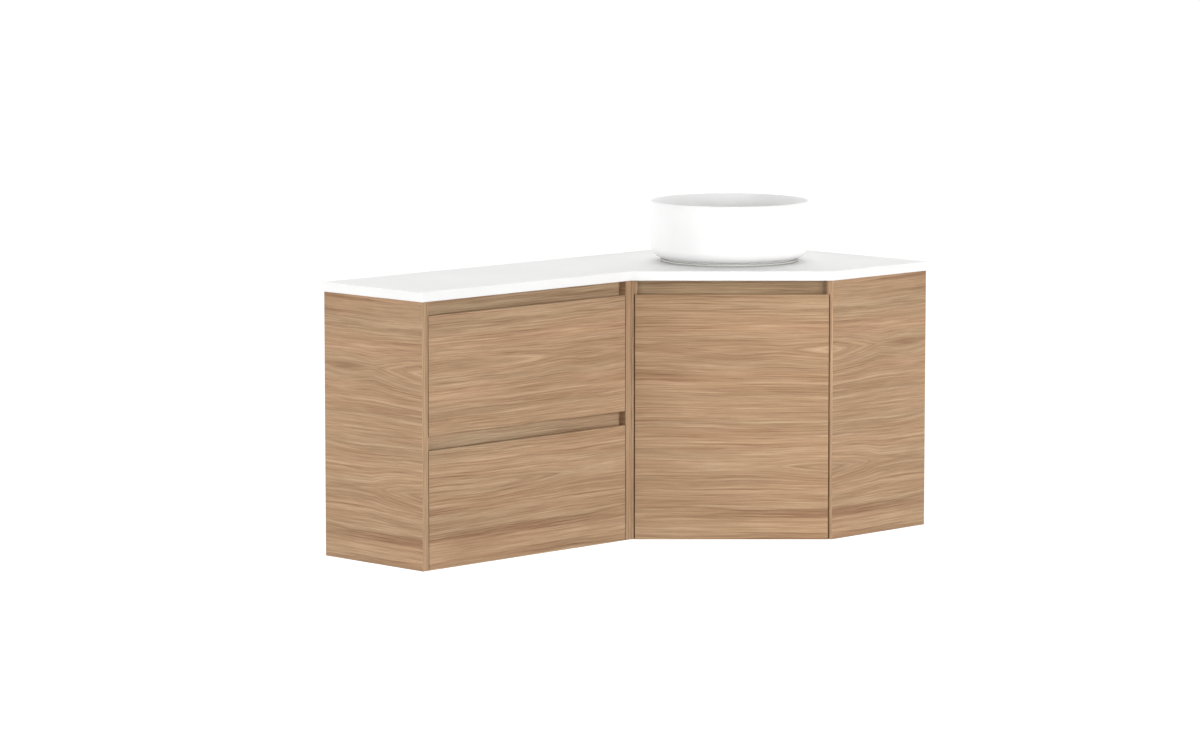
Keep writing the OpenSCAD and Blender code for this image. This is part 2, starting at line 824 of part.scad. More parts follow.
// Folded links that stand in the cups when the door is closed
module hinge_links() {
    deep = cup_deep - cup_metal - fit;           // floor of a cup below the door's back
    top = link_top - front_t + deep;
    foot = link_w - arm_t;                       // thickness of the end that lies in the cup
    color(steel)
    at_door() for (z = hinge_z)
        translate([cup_x, front_t - deep, z - arm_w / 2])
            linear_extrude(arm_w)
                polygon([[-link_w, 0], [link_rise, 0], [link_w, deep - link_rise],
                         [link_reach, deep + flange + arm_metal], [link_reach, top],
                         [link_reach - link_w, top], [foot - link_w, foot + arm_metal],
                         [-link_w, foot]]);
}

// ---------- hinge arms and plates on the end panel ----------

plate_x = -panel_end + plate_back;               // front end of a mounting plate
face_y = bay_x;                                  // inner face of the end panel

// Each plate is a rib that carries the arm, with a round-ended wing above and below it
module hinge_plates() {
    wing_z = plate_h / 2 - plate_wing / 2;
    rib = arm_w / 2 + rib_edge;
    color(steel)
    for (z = hinge_z)
        translate([plate_x, face_y, z]) difference() {
            union() {
                block([0, 0, -rib], [plate_l, plate_t + plate_rib, rib]);
                translate([(plate_l - plate_wing) / 2, 0, -wing_z])
                    cube([plate_wing, plate_t, 2 * wing_z]);
                for (s = [-1, 1]) translate([plate_l / 2, 0, s * wing_z])
                    rotate([-90, 0, 0]) cylinder(d = plate_wing, h = plate_t, $fn = 64);
            }
            for (s = [-1, 1])
                translate([plate_l / 2, -cut, s * (plate_h / 2 - hinge_screw_in)]) rotate([-90, 0, 0])
                    cylinder(d = hinge_screw, h = plate_t + 2 * cut, $fn = 48);
        }
}

// Where a point of the door's frame lies in the plan
function door_point(x, y) = [-door_s / 2 + (x + y) / root2, -door_s / 2 + (y - x) / root2];

// Cranked arms from the mounting plates to the links. They are channels, open towards the
// plates, each with a hole for its fixing screw.
module hinge_arms() {
    seat = face_y + plate_t + plate_rib;
    near = link_top + slip;
    tip = door_point(cup_x + link_reach - link_w, near);
    heel = door_point(cup_x + link_reach, near);
    tip_back = door_point(cup_x + link_reach - link_w, near + arm_t);
    end_x = plate_x + plate_l;
    color(steel)
    for (z = hinge_z)
        translate([0, 0, z]) difference() {
            translate([0, 0, -arm_w / 2]) linear_extrude(arm_w)
                polygon([tip, heel, [plate_x - arm_t, seat], [end_x, seat], [end_x, seat + arm_t],
                         [plate_x - arm_t / 2, seat + arm_t], tip_back]);
            block([plate_x + arm_t, seat - cut, arm_metal - arm_w / 2],
                  [end_x + cut, seat + arm_t - arm_metal, arm_w / 2 - arm_metal]);
            translate([end_x - plate_l / 3, seat, 0]) rotate([-90, 0, 0])
                cylinder(d = hinge_screw, h = arm_t + cut, $fn = 48);
        }
}

// ---------- the assembly ----------

benchtop();
basin();
basin_bead();
waste_body();
flange_washer();
under_washer();
waste_nut();
plug_cap();
plug_stem();
plug_seal();
drawer_unit_left_side();
drawer_unit_right_side();
drawer_unit_bottom();
drawer_unit_back();
drawer_unit_hanging_rail();
drawer_unit_top_rail();
drawer_unit_mid_rail();
corner_unit_left_side();
corner_unit_end_panel();
corner_unit_bottom();
corner_unit_back();
corner_unit_side_back();
corner_unit_hanging_rail();
corner_unit_side_hanging_rail();
corner_unit_door_rail();
joining_bolts();
slide(-1, upper_box_z) outer_slide_profile();  // upper_left_outer_slide
slide(1, upper_box_z) outer_slide_profile();  // upper_right_outer_slide
slide(-1, lower_box_z) outer_slide_profile();  // lower_left_outer_slide
slide(1, lower_box_z) outer_slide_profile();  // lower_right_outer_slide
slide(-1, upper_box_z, slide_access) mid_slide_profile();  // upper_left_mid_slide
slide(1, upper_box_z, slide_access) mid_slide_profile();  // upper_right_mid_slide
slide(-1, lower_box_z, slide_access) mid_slide_profile();  // lower_left_mid_slide
slide(1, lower_box_z, slide_access) mid_slide_profile();  // lower_right_mid_slide
slide(-1, upper_box_z) inner_slide_profile();  // upper_left_inner_slide
slide(1, upper_box_z) inner_slide_profile();  // upper_right_inner_slide
slide(-1, lower_box_z) inner_slide_profile();  // lower_left_inner_slide
slide(1, lower_box_z) inner_slide_profile();  // lower_right_inner_slide
drawer_front(upper_z, upper_box_z);  // upper_drawer_front
drawer_left_side(upper_box_z);  // upper_drawer_left_side
drawer_right_side(upper_box_z);  // upper_drawer_right_side
drawer_back(upper_box_z);  // upper_drawer_back
drawer_base(upper_box_z);  // upper_drawer_base
drawer_brackets(upper_box_z);  // upper_drawer_brackets
drawer_bumpers(upper_bumper_z);  // upper_drawer_bumpers
drawer_front(0, lower_box_z);  // lower_drawer_front
drawer_left_side(lower_box_z);  // lower_drawer_left_side
drawer_right_side(lower_box_z);  // lower_drawer_right_side
drawer_back(lower_box_z);  // lower_drawer_back
drawer_base(lower_box_z);  // lower_drawer_base
drawer_brackets(lower_box_z);  // lower_drawer_brackets
drawer_bumpers(lower_bumper_z);  // lower_drawer_bumpers
door();
door_bumpers();
hinge_cups();
hinge_links();
hinge_arms();
hinge_plates();
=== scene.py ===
"""Looks of the corner vanity unit: oak-look boards, white stone top, glazed basin, fittings."""
import json
import math

import bmesh
import bpy
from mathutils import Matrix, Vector

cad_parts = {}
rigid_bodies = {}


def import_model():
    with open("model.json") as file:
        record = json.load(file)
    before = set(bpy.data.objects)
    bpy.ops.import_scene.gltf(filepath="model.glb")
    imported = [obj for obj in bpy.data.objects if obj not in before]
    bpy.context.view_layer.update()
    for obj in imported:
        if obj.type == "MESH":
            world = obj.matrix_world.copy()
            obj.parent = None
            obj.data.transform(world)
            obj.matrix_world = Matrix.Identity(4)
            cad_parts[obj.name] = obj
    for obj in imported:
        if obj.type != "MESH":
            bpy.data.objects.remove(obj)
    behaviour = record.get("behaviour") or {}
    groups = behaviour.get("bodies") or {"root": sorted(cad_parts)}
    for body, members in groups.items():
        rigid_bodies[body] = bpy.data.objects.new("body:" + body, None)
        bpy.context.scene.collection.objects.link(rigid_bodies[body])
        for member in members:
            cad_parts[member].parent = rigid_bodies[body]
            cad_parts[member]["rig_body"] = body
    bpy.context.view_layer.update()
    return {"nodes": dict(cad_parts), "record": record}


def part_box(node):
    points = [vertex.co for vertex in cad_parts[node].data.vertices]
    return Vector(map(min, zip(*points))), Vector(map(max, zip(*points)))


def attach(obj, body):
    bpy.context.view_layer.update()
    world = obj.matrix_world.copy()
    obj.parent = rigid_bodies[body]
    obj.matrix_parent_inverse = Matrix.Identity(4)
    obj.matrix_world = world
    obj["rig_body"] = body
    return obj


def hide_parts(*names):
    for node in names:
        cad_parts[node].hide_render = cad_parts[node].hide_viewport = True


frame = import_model()
nodes = frame["nodes"]
slot_of = {s["node"]: s["material_slot"] for s in frame["record"]["subparts"]}

X, Y, Z = Vector((1, 0, 0)), Vector((0, 1, 0)), Vector((0, 0, 1))
ALONG_DOOR = (X - Y).normalized()
INTO_DOOR = (X + Y).normalized()
MM = 0.001

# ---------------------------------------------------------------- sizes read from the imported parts

top_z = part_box("benchtop")[1].z
basin_low, basin_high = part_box("basin")
basin_at = Vector(((basin_low.x + basin_high.x) / 2, (basin_low.y + basin_high.y) / 2, top_z))


# ---------------------------------------------------------------- shader helpers

def srgb(r, g, b):
    """A colour written in 0-255 screen values."""
    def linear(c):
        c /= 255
        return c / 12.92 if c <= 0.04045 else ((c + 0.055) / 1.055) ** 2.4
    return (linear(r), linear(g), linear(b), 1)


def feed(tree, socket, value):
    """Links the value to the input socket, or sets it there if it is a plain one."""
    if isinstance(value, bpy.types.NodeSocket):
        tree.links.new(value, socket)
    else:
        socket.default_value = value


def put(tree, kind, inputs=None, **settings):
    """A new node, with its settings, its input values and its incoming links."""
    node = tree.nodes.new(kind)
    for key, value in settings.items():
        setattr(node, key, value)
    for key, value in (inputs or {}).items():
        feed(tree, node.inputs[key], value)
    return node


def calc(tree, operation, *values):
    return put(tree, "ShaderNodeMath", dict(enumerate(values)), operation=operation).outputs[0]


def vector_of(tree, inputs):
    return put(tree, "ShaderNodeCombineXYZ", inputs).outputs[0]


def between(tree, value, low, high, to_low=0.0, to_high=1.0):
    return put(tree, "ShaderNodeMapRange", {"Value": value, "From Min": low, "From Max": high,
                                            "To Min": to_low, "To Max": to_high}).outputs[0]


def noise(tree, vector, scale, detail, rough):
    return put(tree, "ShaderNodeTexNoise", {"Vector": vector, "Scale": scale, "Detail": detail,
                                            "Roughness": rough}).outputs["Fac"]


def ramp(tree, factor, stops):
    """The colours of the stops, each (place, colour), blended evenly."""
    node = put(tree, "ShaderNodeValToRGB", {"Fac": factor})
    points = node.color_ramp.elements
    while len(points) < len(stops):
        points.new(0.5)
    for point, (place, colour) in zip(points, stops):
        point.position = place
        point.color = colour
    return node.outputs["Color"]


def blend_colour(tree, factor, a, b, how="MIX"):
    node = put(tree, "ShaderNodeMix", {0: factor, 6: a, 7: b}, data_type="RGBA", blend_type=how)
    return node.outputs[2]


def new_group(name, inputs, outputs):
    """An empty shader group with its sockets; returns the tree and its input and output nodes."""
    tree = bpy.data.node_groups.new(name, "ShaderNodeTree")
    for label, kind, value in inputs:
        socket = tree.interface.new_socket(label, in_out="INPUT", socket_type=kind)
        if value is not None:
            socket.default_value = value
    for label, kind in outputs:
        tree.interface.new_socket(label, in_out="OUTPUT", socket_type=kind)
    return tree, tree.nodes.new("NodeGroupInput"), tree.nodes.new("NodeGroupOutput")


def use_group(tree, group, inputs):
    return put(tree, "ShaderNodeGroup", inputs, node_tree=group).outputs


# ---------------------------------------------------------------- shared effects

LEAF = 0.248            # width of a leaf of veneer, in metres
WIDE_LEAF = 4.0         # so wide that no heart comes into sight
HEART_REACH = 0.055     # how far from a leaf's heart its arrowheads fade, in metres
ARROW_REACH = 0.17      # how far along the grain the cut is still deep, in metres
LEAST_DEPTH = 0.003     # how near the cut comes to the heart beyond that, in metres
ROUNDING = 1.22         # of the arrowheads' tips: 1 is a sharp corner, 2 a circle


def make_oak_figure():
    """Crown-cut oak: in each leaf of veneer the bands bend into arrowheads round its heart, under
    straight fibres and pores. The vector is in metres, X along the grain, the arrowheads opening
    that way from nought, and Y across it, a heart at nought."""
    tree, given, out = new_group(
        "oak_figure",
        [("Vector", "NodeSocketVector", None), ("Leaf width", "NodeSocketFloat", LEAF),
         ("Sway", "NodeSocketFloat", 0.040), ("Arrow depth", "NodeSocketFloat", 0.027)],
        [("Tone", "NodeSocketFloat"), ("Warmth", "NodeSocketFloat"), ("Pores", "NodeSocketFloat"),
         ("Height", "NodeSocketFloat")])
    apart = put(tree, "ShaderNodeSeparateXYZ", {0: given.outputs["Vector"]})
    along, across = apart.outputs[0], apart.outputs[1]

    def times(value, factor):
        return calc(tree, "MULTIPLY", value, factor)

    def total(*parts):
        whole = parts[0]
        for part in parts[1:]:
            whole = calc(tree, "ADD", whole, part)
        return whole

    def grain(per_metre_along, rings, per_metre_across, seed, detail, rough):
        """Noise centred on nought, stretched along the grain, slowly changing across the leaves."""
        place = vector_of(tree, {0: times(along, per_metre_along),
                                 1: times(rings, per_metre_across),
                                 2: total(times(across, 4.0), seed)})
        return calc(tree, "SUBTRACT", noise(tree, place, 1.0, detail, rough), 0.5)

    # the leaf sways slowly, and the cut comes nearer to its heart along the arrowheads
    sway = times(grain(1.7, across, 1.0, 3.1, 2, 0.5), given.outputs["Sway"])
    ripple = times(grain(6.5, across, 8.0, 7.7, 2, 0.55), 0.007)
    half_leaf = times(given.outputs["Leaf width"], 0.5)
    off_heart = calc(tree, "PINGPONG", total(across, sway, ripple), half_leaf)
    far = between(tree, along, 0.0, ARROW_REACH, 1.0, 0.0)
    from_heart = calc(tree, "DIVIDE", off_heart, HEART_REACH)
    close_by = calc(tree, "DIVIDE", 1.0, calc(tree, "MULTIPLY_ADD", from_heart, from_heart, 1.0))
    near = calc(tree, "MULTIPLY_ADD", times(far, close_by), given.outputs["Arrow depth"],
                LEAST_DEPTH)
    depth = calc(tree, "ABSOLUTE", total(near, times(grain(3.1, across, 1.5, 11.0, 1, 0.5), 0.018)))
    corner = total(calc(tree, "POWER", off_heart, ROUNDING), calc(tree, "POWER", depth, ROUNDING))
    rings = calc(tree, "POWER", corner, 1 / ROUNDING)

    # what follows the rings, and what runs straight along the board
    band = grain(2.0, rings, 75.0, 21.0, 3, 0.60)
    streak = grain(4.5, rings, 330.0, 31.0, 3, 0.65)
    dark_line = between(tree, grain(2.4, rings, 190.0, 91.0, 2, 0.6), 0.10, 0.26)
    pale_line = between(tree, grain(2.4, rings, 180.0, 97.0, 2, 0.6), 0.12, 0.28)
    fibre = grain(16.0, across, 760.0, 41.0, 3, 0.6)
    broad = grain(1.5, across, 14.0, 51.0, 2, 0.5)
    tone = total(0.5, times(band, 0.80), times(streak, 1.45), times(fibre, 0.95),
                 times(broad, 0.75), times(dark_line, -0.30), times(pale_line, 0.13))
    pores = between(tree, grain(95.0, across, 2300.0, 61.0, 1, 0.5), 0.10, 0.24)
    height = calc(tree, "SUBTRACT", times(fibre, 0.5), times(pores, 0.8))
    warm = between(tree, grain(1.5, rings, 26.0, 71.0, 3, 0.6), -0.16, 0.16)
    for label, value in (("Tone", tone), ("Warmth", warm), ("Pores", pores), ("Height", height)):
        tree.links.new(value, out.inputs[label])
    return tree


def make_soft_mottle():
    """Faint cloudy variation, with a finer one inside it, for glaze, stone, board and metal."""
    tree, given, out = new_group(
        "soft_mottle",
        [("Vector", "NodeSocketVector", None), ("Size", "NodeSocketFloat", 8.0)],
        [("Cloud", "NodeSocketFloat"), ("Speck", "NodeSocketFloat")])
    cloud = noise(tree, given.outputs["Vector"], given.outputs["Size"], 3, 0.55)
    finer = calc(tree, "MULTIPLY", given.outputs["Size"], 60.0)
    speck = noise(tree, given.outputs["Vector"], finer, 2, 0.6)
    tree.links.new(between(tree, cloud, 0.3, 0.7), out.inputs["Cloud"])
    tree.links.new(between(tree, speck, 0.3, 0.7), out.inputs["Speck"])
    return tree


oak_figure = make_oak_figure()
soft_mottle = make_soft_mottle()


# ---------------------------------------------------------------- materials

def new_material(name):
    """A material with its Principled shader; returns the material, its tree and the shader."""
    material = bpy.data.materials.new(name)
    material.use_nodes = True
    tree = material.node_tree
    tree.nodes.clear()
    shader = tree.nodes.new("ShaderNodeBsdfPrincipled")
    end = tree.nodes.new("ShaderNodeOutputMaterial")
    tree.links.new(shader.outputs[0], end.inputs[0])
    return material, tree, shader


def object_place(tree):
    return put(tree, "ShaderNodeTexCoord").outputs["Object"]


def mottle_of(tree, place, size):
    return use_group(tree, soft_mottle, {"Vector": place, "Size": size})


def colour_it(tree, shader, colour):
    tree.links.new(colour, shader.inputs["Base Color"])


def cloud_it(tree, shader, mottle, dark, pale):
    """The base colour wanders between the dark and the pale tone."""
    colour_it(tree, shader, blend_colour(tree, mottle["Cloud"], dark, pale))


def roughen(tree, shader, guide, at_low, at_high, low=0.0, high=1.0):
    """The roughness follows the guide: at_low where the guide is low, at_high where it is high."""
    tree.links.new(between(tree, guide, low, high, at_low, at_high), shader.inputs["Roughness"])


def relief(tree, shader, height, distance, strength):
    bump = put(tree, "ShaderNodeBump", {"Strength": strength, "Distance": distance,
                                        "Height": height})
    tree.links.new(bump.outputs[0], shader.inputs["Normal"])


OAK = [(0.00, srgb(134, 102, 77)), (0.28, srgb(159, 127, 98)), (0.50, srgb(175, 143, 113)),
       (0.72, srgb(188, 157, 126)), (1.00, srgb(204, 173, 143))]
PORE = srgb(112, 84, 60)
COOL, ROSY = (0.965, 1.0, 0.985, 1), (1.03, 0.985, 0.96, 1)


def make_oak(name, leaf, sway, arrow, tint=(1.0, 1.0, 1.0, 1)):
    """Matt oak-look board, whose UV map has the grain along U in metres."""
    material, tree, shader = new_material(name)
    flat = put(tree, "ShaderNodeUVMap", uv_map="grain").outputs[0]
    figure = use_group(tree, oak_figure, {"Vector": flat, "Leaf width": leaf, "Sway": sway,
                                          "Arrow depth": arrow})
    colour = ramp(tree, figure["Tone"], OAK)
    cool = blend_colour(tree, 1.0, colour, COOL, "MULTIPLY")
    rosy = blend_colour(tree, 1.0, colour, ROSY, "MULTIPLY")
    colour = blend_colour(tree, figure["Warmth"], cool, rosy)
    dark = calc(tree, "MULTIPLY", figure["Pores"], 0.22)
    colour = blend_colour(tree, dark, colour, PORE)
    colour = blend_colour(tree, 1.0, colour, tint, "MULTIPLY")
    colour_it(tree, shader, colour)
    roughen(tree, shader, figure["Tone"], 0.60, 0.50)
    shader.inputs["Specular IOR Level"].default_value = 0.35
    relief(tree, shader, figure["Height"], 0.00006, 0.6)
    return material


def make_plain_oak(name, *tint):
    """Oak for a rail or an edge band: nearly straight lines, and no heart in sight."""
    return make_oak(name, WIDE_LEAF, 0.010, 0.010, (*tint, 1))


# The photo shows the rails and the inner corner's edges darker than the studio light makes them
oak_face = make_oak("oak_face", LEAF, 0.036, 0.027)
oak_front = make_oak("oak_drawer_front", LEAF, 0.030, 0.012)
oak_door = make_oak("oak_door", LEAF, 0.026, 0.014)
# Painted shade: the rails' tints darken and grey them, as the shade in the finger recesses would.
oak_top_rail_painted_shade = make_plain_oak("oak_top_rail_painted_shade", 0.84, 0.88, 0.90)
oak_mid_rail_painted_shade = make_plain_oak("oak_mid_rail_painted_shade", 0.91, 0.98, 1.03)
oak_door_rail_painted_shade = make_plain_oak("oak_door_rail_painted_shade", 0.78, 0.86, 0.88)
oak_edge = make_plain_oak("oak_edge_band", 1.04, 1.04, 1.04)
# Painted shade: these edge bands are darkened for the shade at the recesses and the inner corner.
oak_inner_edge_painted_shade = make_plain_oak("oak_inner_edge_band", 0.85, 0.84, 0.83)


def make_melamine():
    """White melamine board with a fine pearl in it."""
    material, tree, shader = new_material("white_melamine")
    mottle = mottle_of(tree, object_place(tree), 9.0)
    cloud_it(tree, shader, mottle, srgb(236, 236, 233), srgb(241, 241, 239))
    roughen(tree, shader, mottle["Speck"], 0.44, 0.54)
    relief(tree, shader, mottle["Speck"], 0.00005, 0.35)
    return material


def make_stone():
    """Satin white cast stone: a faint cloud and very fine grey grains."""
    material, tree, shader = new_material("white_stone")
    place = object_place(tree)
    mottle = mottle_of(tree, place, 5.0)
    colour = blend_colour(tree, mottle["Cloud"], srgb(246, 246, 245), srgb(250, 250, 249))
    grain = between(tree, noise(tree, place, 900.0, 1, 0.5), 0.66, 0.74)
    colour = blend_colour(tree, calc(tree, "MULTIPLY", grain, 0.12), colour, srgb(214, 214, 212))
    colour_it(tree, shader, colour)
    roughen(tree, shader, mottle["Cloud"], 0.46, 0.54)
    shader.inputs["Specular IOR Level"].default_value = 0.2
    relief(tree, shader, mottle["Speck"], 0.00002, 0.25)
    return material


def make_glaze():
    """Satin white glaze over fired clay, slightly uneven, with painted shade that greys it towards
    the foot ring.
    """
    material, tree, shader = new_material("white_glaze")
    place = object_place(tree)
    mottle = mottle_of(tree, place, 7.0)
    colour = blend_colour(tree, mottle["Cloud"], srgb(240, 240, 240), srgb(245, 245, 244))
    height = put(tree, "ShaderNodeSeparateXYZ", {0: place}).outputs[2]
    shade_starts_at, shade_full_at = 30 * MM, 8 * MM      # heights above the benchtop
    # Painted shade: the glaze greys towards the foot ring, where the shade under the basin's
    # rounding falls.
    painted_foot_shade = between(tree, height, top_z + shade_starts_at, top_z + shade_full_at)
    colour_it(tree, shader, blend_colour(tree, painted_foot_shade, colour, srgb(219, 219, 218)))
    roughen(tree, shader, mottle["Cloud"], 0.36, 0.42)
    shader.inputs["Specular IOR Level"].default_value = 0.25
    relief(tree, shader, mottle["Cloud"], 0.0002, 0.35)
    return material


def make_clay_and_painted_shade():
    """Bare fired clay, where the foot ring stands clear of the glaze: pale, matt and gritty. Its
    tone, darker than the glaze, is partly painted shade for the shade under the basin.
    """
    material, tree, shader = new_material("fired_clay_and_painted_shade")
    mottle = mottle_of(tree, object_place(tree), 30.0)
    cloud_it(tree, shader, mottle, srgb(204, 203, 200), srgb(212, 211, 208))
    roughen(tree, shader, mottle["Speck"], 0.70, 0.85)
    relief(tree, shader, mottle["Speck"], 0.00006, 0.5)
    return material


def make_sealant():
    """White silicone, smooth and slightly uneven."""
    material, tree, shader = new_material("white_sealant")
    mottle = mottle_of(tree, object_place(tree), 40.0)
    cloud_it(tree, shader, mottle, srgb(232, 231, 226), srgb(240, 240, 237))
    roughen(tree, shader, mottle["Cloud"], 0.32, 0.42)
    relief(tree, shader, mottle["Cloud"], 0.0003, 0.4)
    return material


def make_chrome():
    """Polished chrome plate with a trace of wiping marks."""
    material, tree, shader = new_material("polished_chrome")
    mottle = mottle_of(tree, object_place(tree), 60.0)
    cloud_it(tree, shader, mottle, (0.60, 0.61, 0.63, 1), (0.66, 0.67, 0.69, 1))
    shader.inputs["Metallic"].default_value = 1.0
    roughen(tree, shader, mottle["Speck"], 0.05, 0.11)
    return material


def make_zinc():
    """Zinc-plated pressed steel: rolling lines along Y and a dull, uneven plating."""
    material, tree, shader = new_material("zinc_steel")
    place = object_place(tree)
    stretched = put(tree, "ShaderNodeMapping", {"Vector": place,
                                                "Scale": (900.0, 14.0, 900.0)}).outputs[0]
    lines = noise(tree, stretched, 1.0, 2, 0.6)
    mottle = mottle_of(tree, place, 45.0)
    cloud_it(tree, shader, mottle, (0.47, 0.48, 0.50, 1), (0.60, 0.61, 0.62, 1))
    shader.inputs["Metallic"].default_value = 1.0
    roughen(tree, shader, lines, 0.28, 0.46, 0.3, 0.7)
    relief(tree, shader, lines, 0.00003, 0.4)
    return material


def make_rubber(name, dark, pale, size):
    """Matt rubber or soft plastic between a dark and a pale tone."""
    material, tree, shader = new_material(name)
    mottle = mottle_of(tree, object_place(tree), size)
    cloud_it(tree, shader, mottle, dark, pale)
    roughen(tree, shader, mottle["Speck"], 0.55, 0.75)
    relief(tree, shader, mottle["Speck"], 0.00008, 0.4)
    return material


melamine = make_melamine()
stone = make_stone()
glaze = make_glaze()
fired_clay_and_painted_shade = make_clay_and_painted_shade()
sealant = make_sealant()
chrome = make_chrome()
zinc = make_zinc()
black_rubber = make_rubber("black_rubber", srgb(34, 34, 35), srgb(48, 48, 49), 120.0)
soft_bumper = make_rubber("soft_clear_bumper", srgb(206, 207, 206), srgb(226, 227, 226), 90.0)

finish_of = {"benchtop": stone, "glazed_white": glaze, "sealant": sealant, "chrome": chrome,
             "rubber": black_rubber, "zinc_steel": zinc, "clear_bumper": soft_bumper,
             "timber_face": oak_face, "carcass_white": melamine}


# ---------------------------------------------------------------- pieces

replaced = set()

WELD = 2e-6                 # corners nearer than this are one, in metres
FLAT = 0.5                  # faces that differ by less than this are joined up, in degrees
SHARP, SHARP_GROWN = 32, 35  # an edge is sharp from here, in degrees
BOARD_EASE, WHITE_EASE, SLAB_EASE = 0.5 * MM, 0.4 * MM, 1.2 * MM


def shown(name, data):
    """A new object in the scene, at the origin."""
    item = bpy.data.objects.new(name, data)
    bpy.context.scene.collection.objects.link(item)
    return item


def add_piece(name, bm, *materials):
    """A new mesh object at the origin from a bmesh, which is used up."""
    mesh = bpy.data.meshes.new(name)
    bm.to_mesh(mesh)
    bm.free()
    piece = shown(name, mesh)
    for material in materials:
        mesh.materials.append(material)
    return piece


def stands_for(piece, *names):
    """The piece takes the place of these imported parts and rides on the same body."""
    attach(piece, nodes[names[0]]["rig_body"])
    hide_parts(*names)
    replaced.update(names)
    return piece


def copied(node):
    """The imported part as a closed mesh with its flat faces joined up."""
    bm = bmesh.new()
    bm.from_mesh(nodes[node].data)
    bmesh.ops.remove_doubles(bm, verts=bm.verts, dist=WELD)
    bmesh.ops.dissolve_limit(bm, angle_limit=math.radians(FLAT), verts=bm.verts, edges=bm.edges)
    return bm


def ease_edges(piece, width, steps=2):
    """Takes the sharpness off every edge, as the real board, slab or fitting has it."""
    bevel = piece.modifiers.new("eased_edges", "BEVEL")
    bevel.width = width
    bevel.segments = steps
    bevel.limit_method = "ANGLE"
    bevel.angle_limit = math.radians(SHARP)
    bevel.harden_normals = True
    for polygon in piece.data.polygons:
        polygon.use_smooth = True
    piece.data.set_sharp_from_angle(angle=math.radians(SHARP))


HEART = 0.155       # height of the lower leaf's heart, in metres
END_MOVE, EDGE_MOVE = (2.1, 1.3), (4.3, 1.7)    # keep ends and edges off the face's own figure


def lay_grain(bm, thick, grain, heart, tip):
    """Writes the grain map: grain is the way the arrowheads open, tip where they start along it,
    and heart the height of a leaf's heart. Ends and edges get the second material, the edges with
    the grain along them and the ends with it across the board."""
    across = thick.cross(grain)
    if across.dot(Z) < 0 or across.dot(Y) < -0.5:
        across = -across
    layer = bm.loops.layers.uv.new("grain")
    for face in bm.faces:
        n = face.normal
        if abs(n.dot(thick)) > 0.8:
            u, v, move = grain, across, (-tip, -heart)
            face.material_index = 0
        elif abs(n.dot(grain)) > abs(n.dot(across)):
            u, v, move = across, thick, (END_MOVE[0] - tip, END_MOVE[1])
            face.material_index = 1
        else:
            u, v, move = grain, thick, (EDGE_MOVE[0] - tip, EDGE_MOVE[1])
            face.material_index = 1
        for loop in face.loops:
            loop[layer].uv = (loop.vert.co.dot(u) + move[0], loop.vert.co.dot(v) + move[1])


def timber_board(node, thick, grain, heart=HEART, tip=0.0, face=oak_face, edge=oak_edge):
    bm = copied(node)
    lay_grain(bm, thick, grain, heart, tip)
    piece = add_piece(node + "_board", bm, face, edge)
    ease_edges(piece, BOARD_EASE)
    return stands_for(piece, node)


def white_board(node):
    piece = add_piece(node + "_board", copied(node), melamine)
    ease_edges(piece, WHITE_EASE)
    return stands_for(piece, node)


timber_board("drawer_unit_left_side", X, -Y, tip=0.15)
timber_board("drawer_unit_right_side", X, -Y, heart=0.13, tip=1.15, edge=oak_inner_edge_painted_shade)
timber_board("drawer_unit_bottom", Z, X, heart=-0.17, tip=-2.0)
timber_board("drawer_unit_top_rail", Y, X, heart=0.61, tip=-3.0, face=oak_top_rail_painted_shade)
timber_board("drawer_unit_mid_rail", Y, X, heart=0.39, tip=-4.0, face=oak_mid_rail_painted_shade)
timber_board("corner_unit_left_side", X, -Y, heart=0.12, tip=5.2, edge=oak_inner_edge_painted_shade)
timber_board("corner_unit_end_panel", Y, -X, tip=0.15)
timber_board("corner_unit_bottom", Z, X, heart=-0.20, tip=-6.0)
timber_board("corner_unit_door_rail", INTO_DOOR, ALONG_DOOR, heart=0.62, tip=-7.0,
             face=oak_door_rail_painted_shade)
timber_board("upper_drawer_front", Y, -X, heart=0.162, tip=0.80, face=oak_front)
timber_board("lower_drawer_front", Y, -X, heart=0.162, tip=0.80, face=oak_front)
timber_board("door", INTO_DOOR, ALONG_DOOR, tip=0.10, face=oak_door)

for node in nodes:
    if slot_of[node] == "carcass_white":
        white_board(node)

benchtop = add_piece("benchtop_slab", copied("benchtop"), stone)
ease_edges(benchtop, SLAB_EASE, 3)
stands_for(benchtop, "benchtop")


def way_at(degrees):
    """The level unit vector that many degrees round from X."""
    return Vector((math.cos(math.radians(degrees)), math.sin(math.radians(degrees)), 0))


def arc(centre_r, centre_z, radius, start, end, steps):
    """Points of an arc in a lathe outline, in millimetres and degrees."""
    turns = [math.radians(start + (end - start) * i / steps) for i in range(steps + 1)]
    return [(centre_r + radius * math.cos(turn), centre_z + radius * math.sin(turn))
            for turn in turns]


def turned(name, outline, at, materials, steps, closed=True):
    """A shape turned on the lathe. The outline's points are (radius, height) in millimetres. It
    runs in a ring, or from axis to axis where closed is False."""
    bm = bmesh.new()
    rings = []
    for r, z in outline:
        if r < 1e-6:
            rings.append([bm.verts.new(at + Vector((0, 0, z * MM)))])
            continue
        turns = [2 * math.pi * i / steps for i in range(steps)]
        rings.append([bm.verts.new(at + Vector((r * MM * math.cos(turn), r * MM * math.sin(turn),
                                                z * MM)))
                      for turn in turns])
    following = rings[1:] + rings[:1] if closed else rings[1:]
    for a, b in zip(rings, following):
        for i in range(steps):
            j = (i + 1) % steps
            corners = [a[i % len(a)], a[j % len(a)], b[j % len(b)], b[i % len(b)]]
            kept = [c for k, c in enumerate(corners) if c not in corners[:k]]
            if len(kept) > 2:
                bm.faces.new(kept)
    bmesh.ops.recalc_face_normals(bm, faces=bm.faces)
    for face in bm.faces:
        face.smooth = True
    return add_piece(name, bm, *materials)


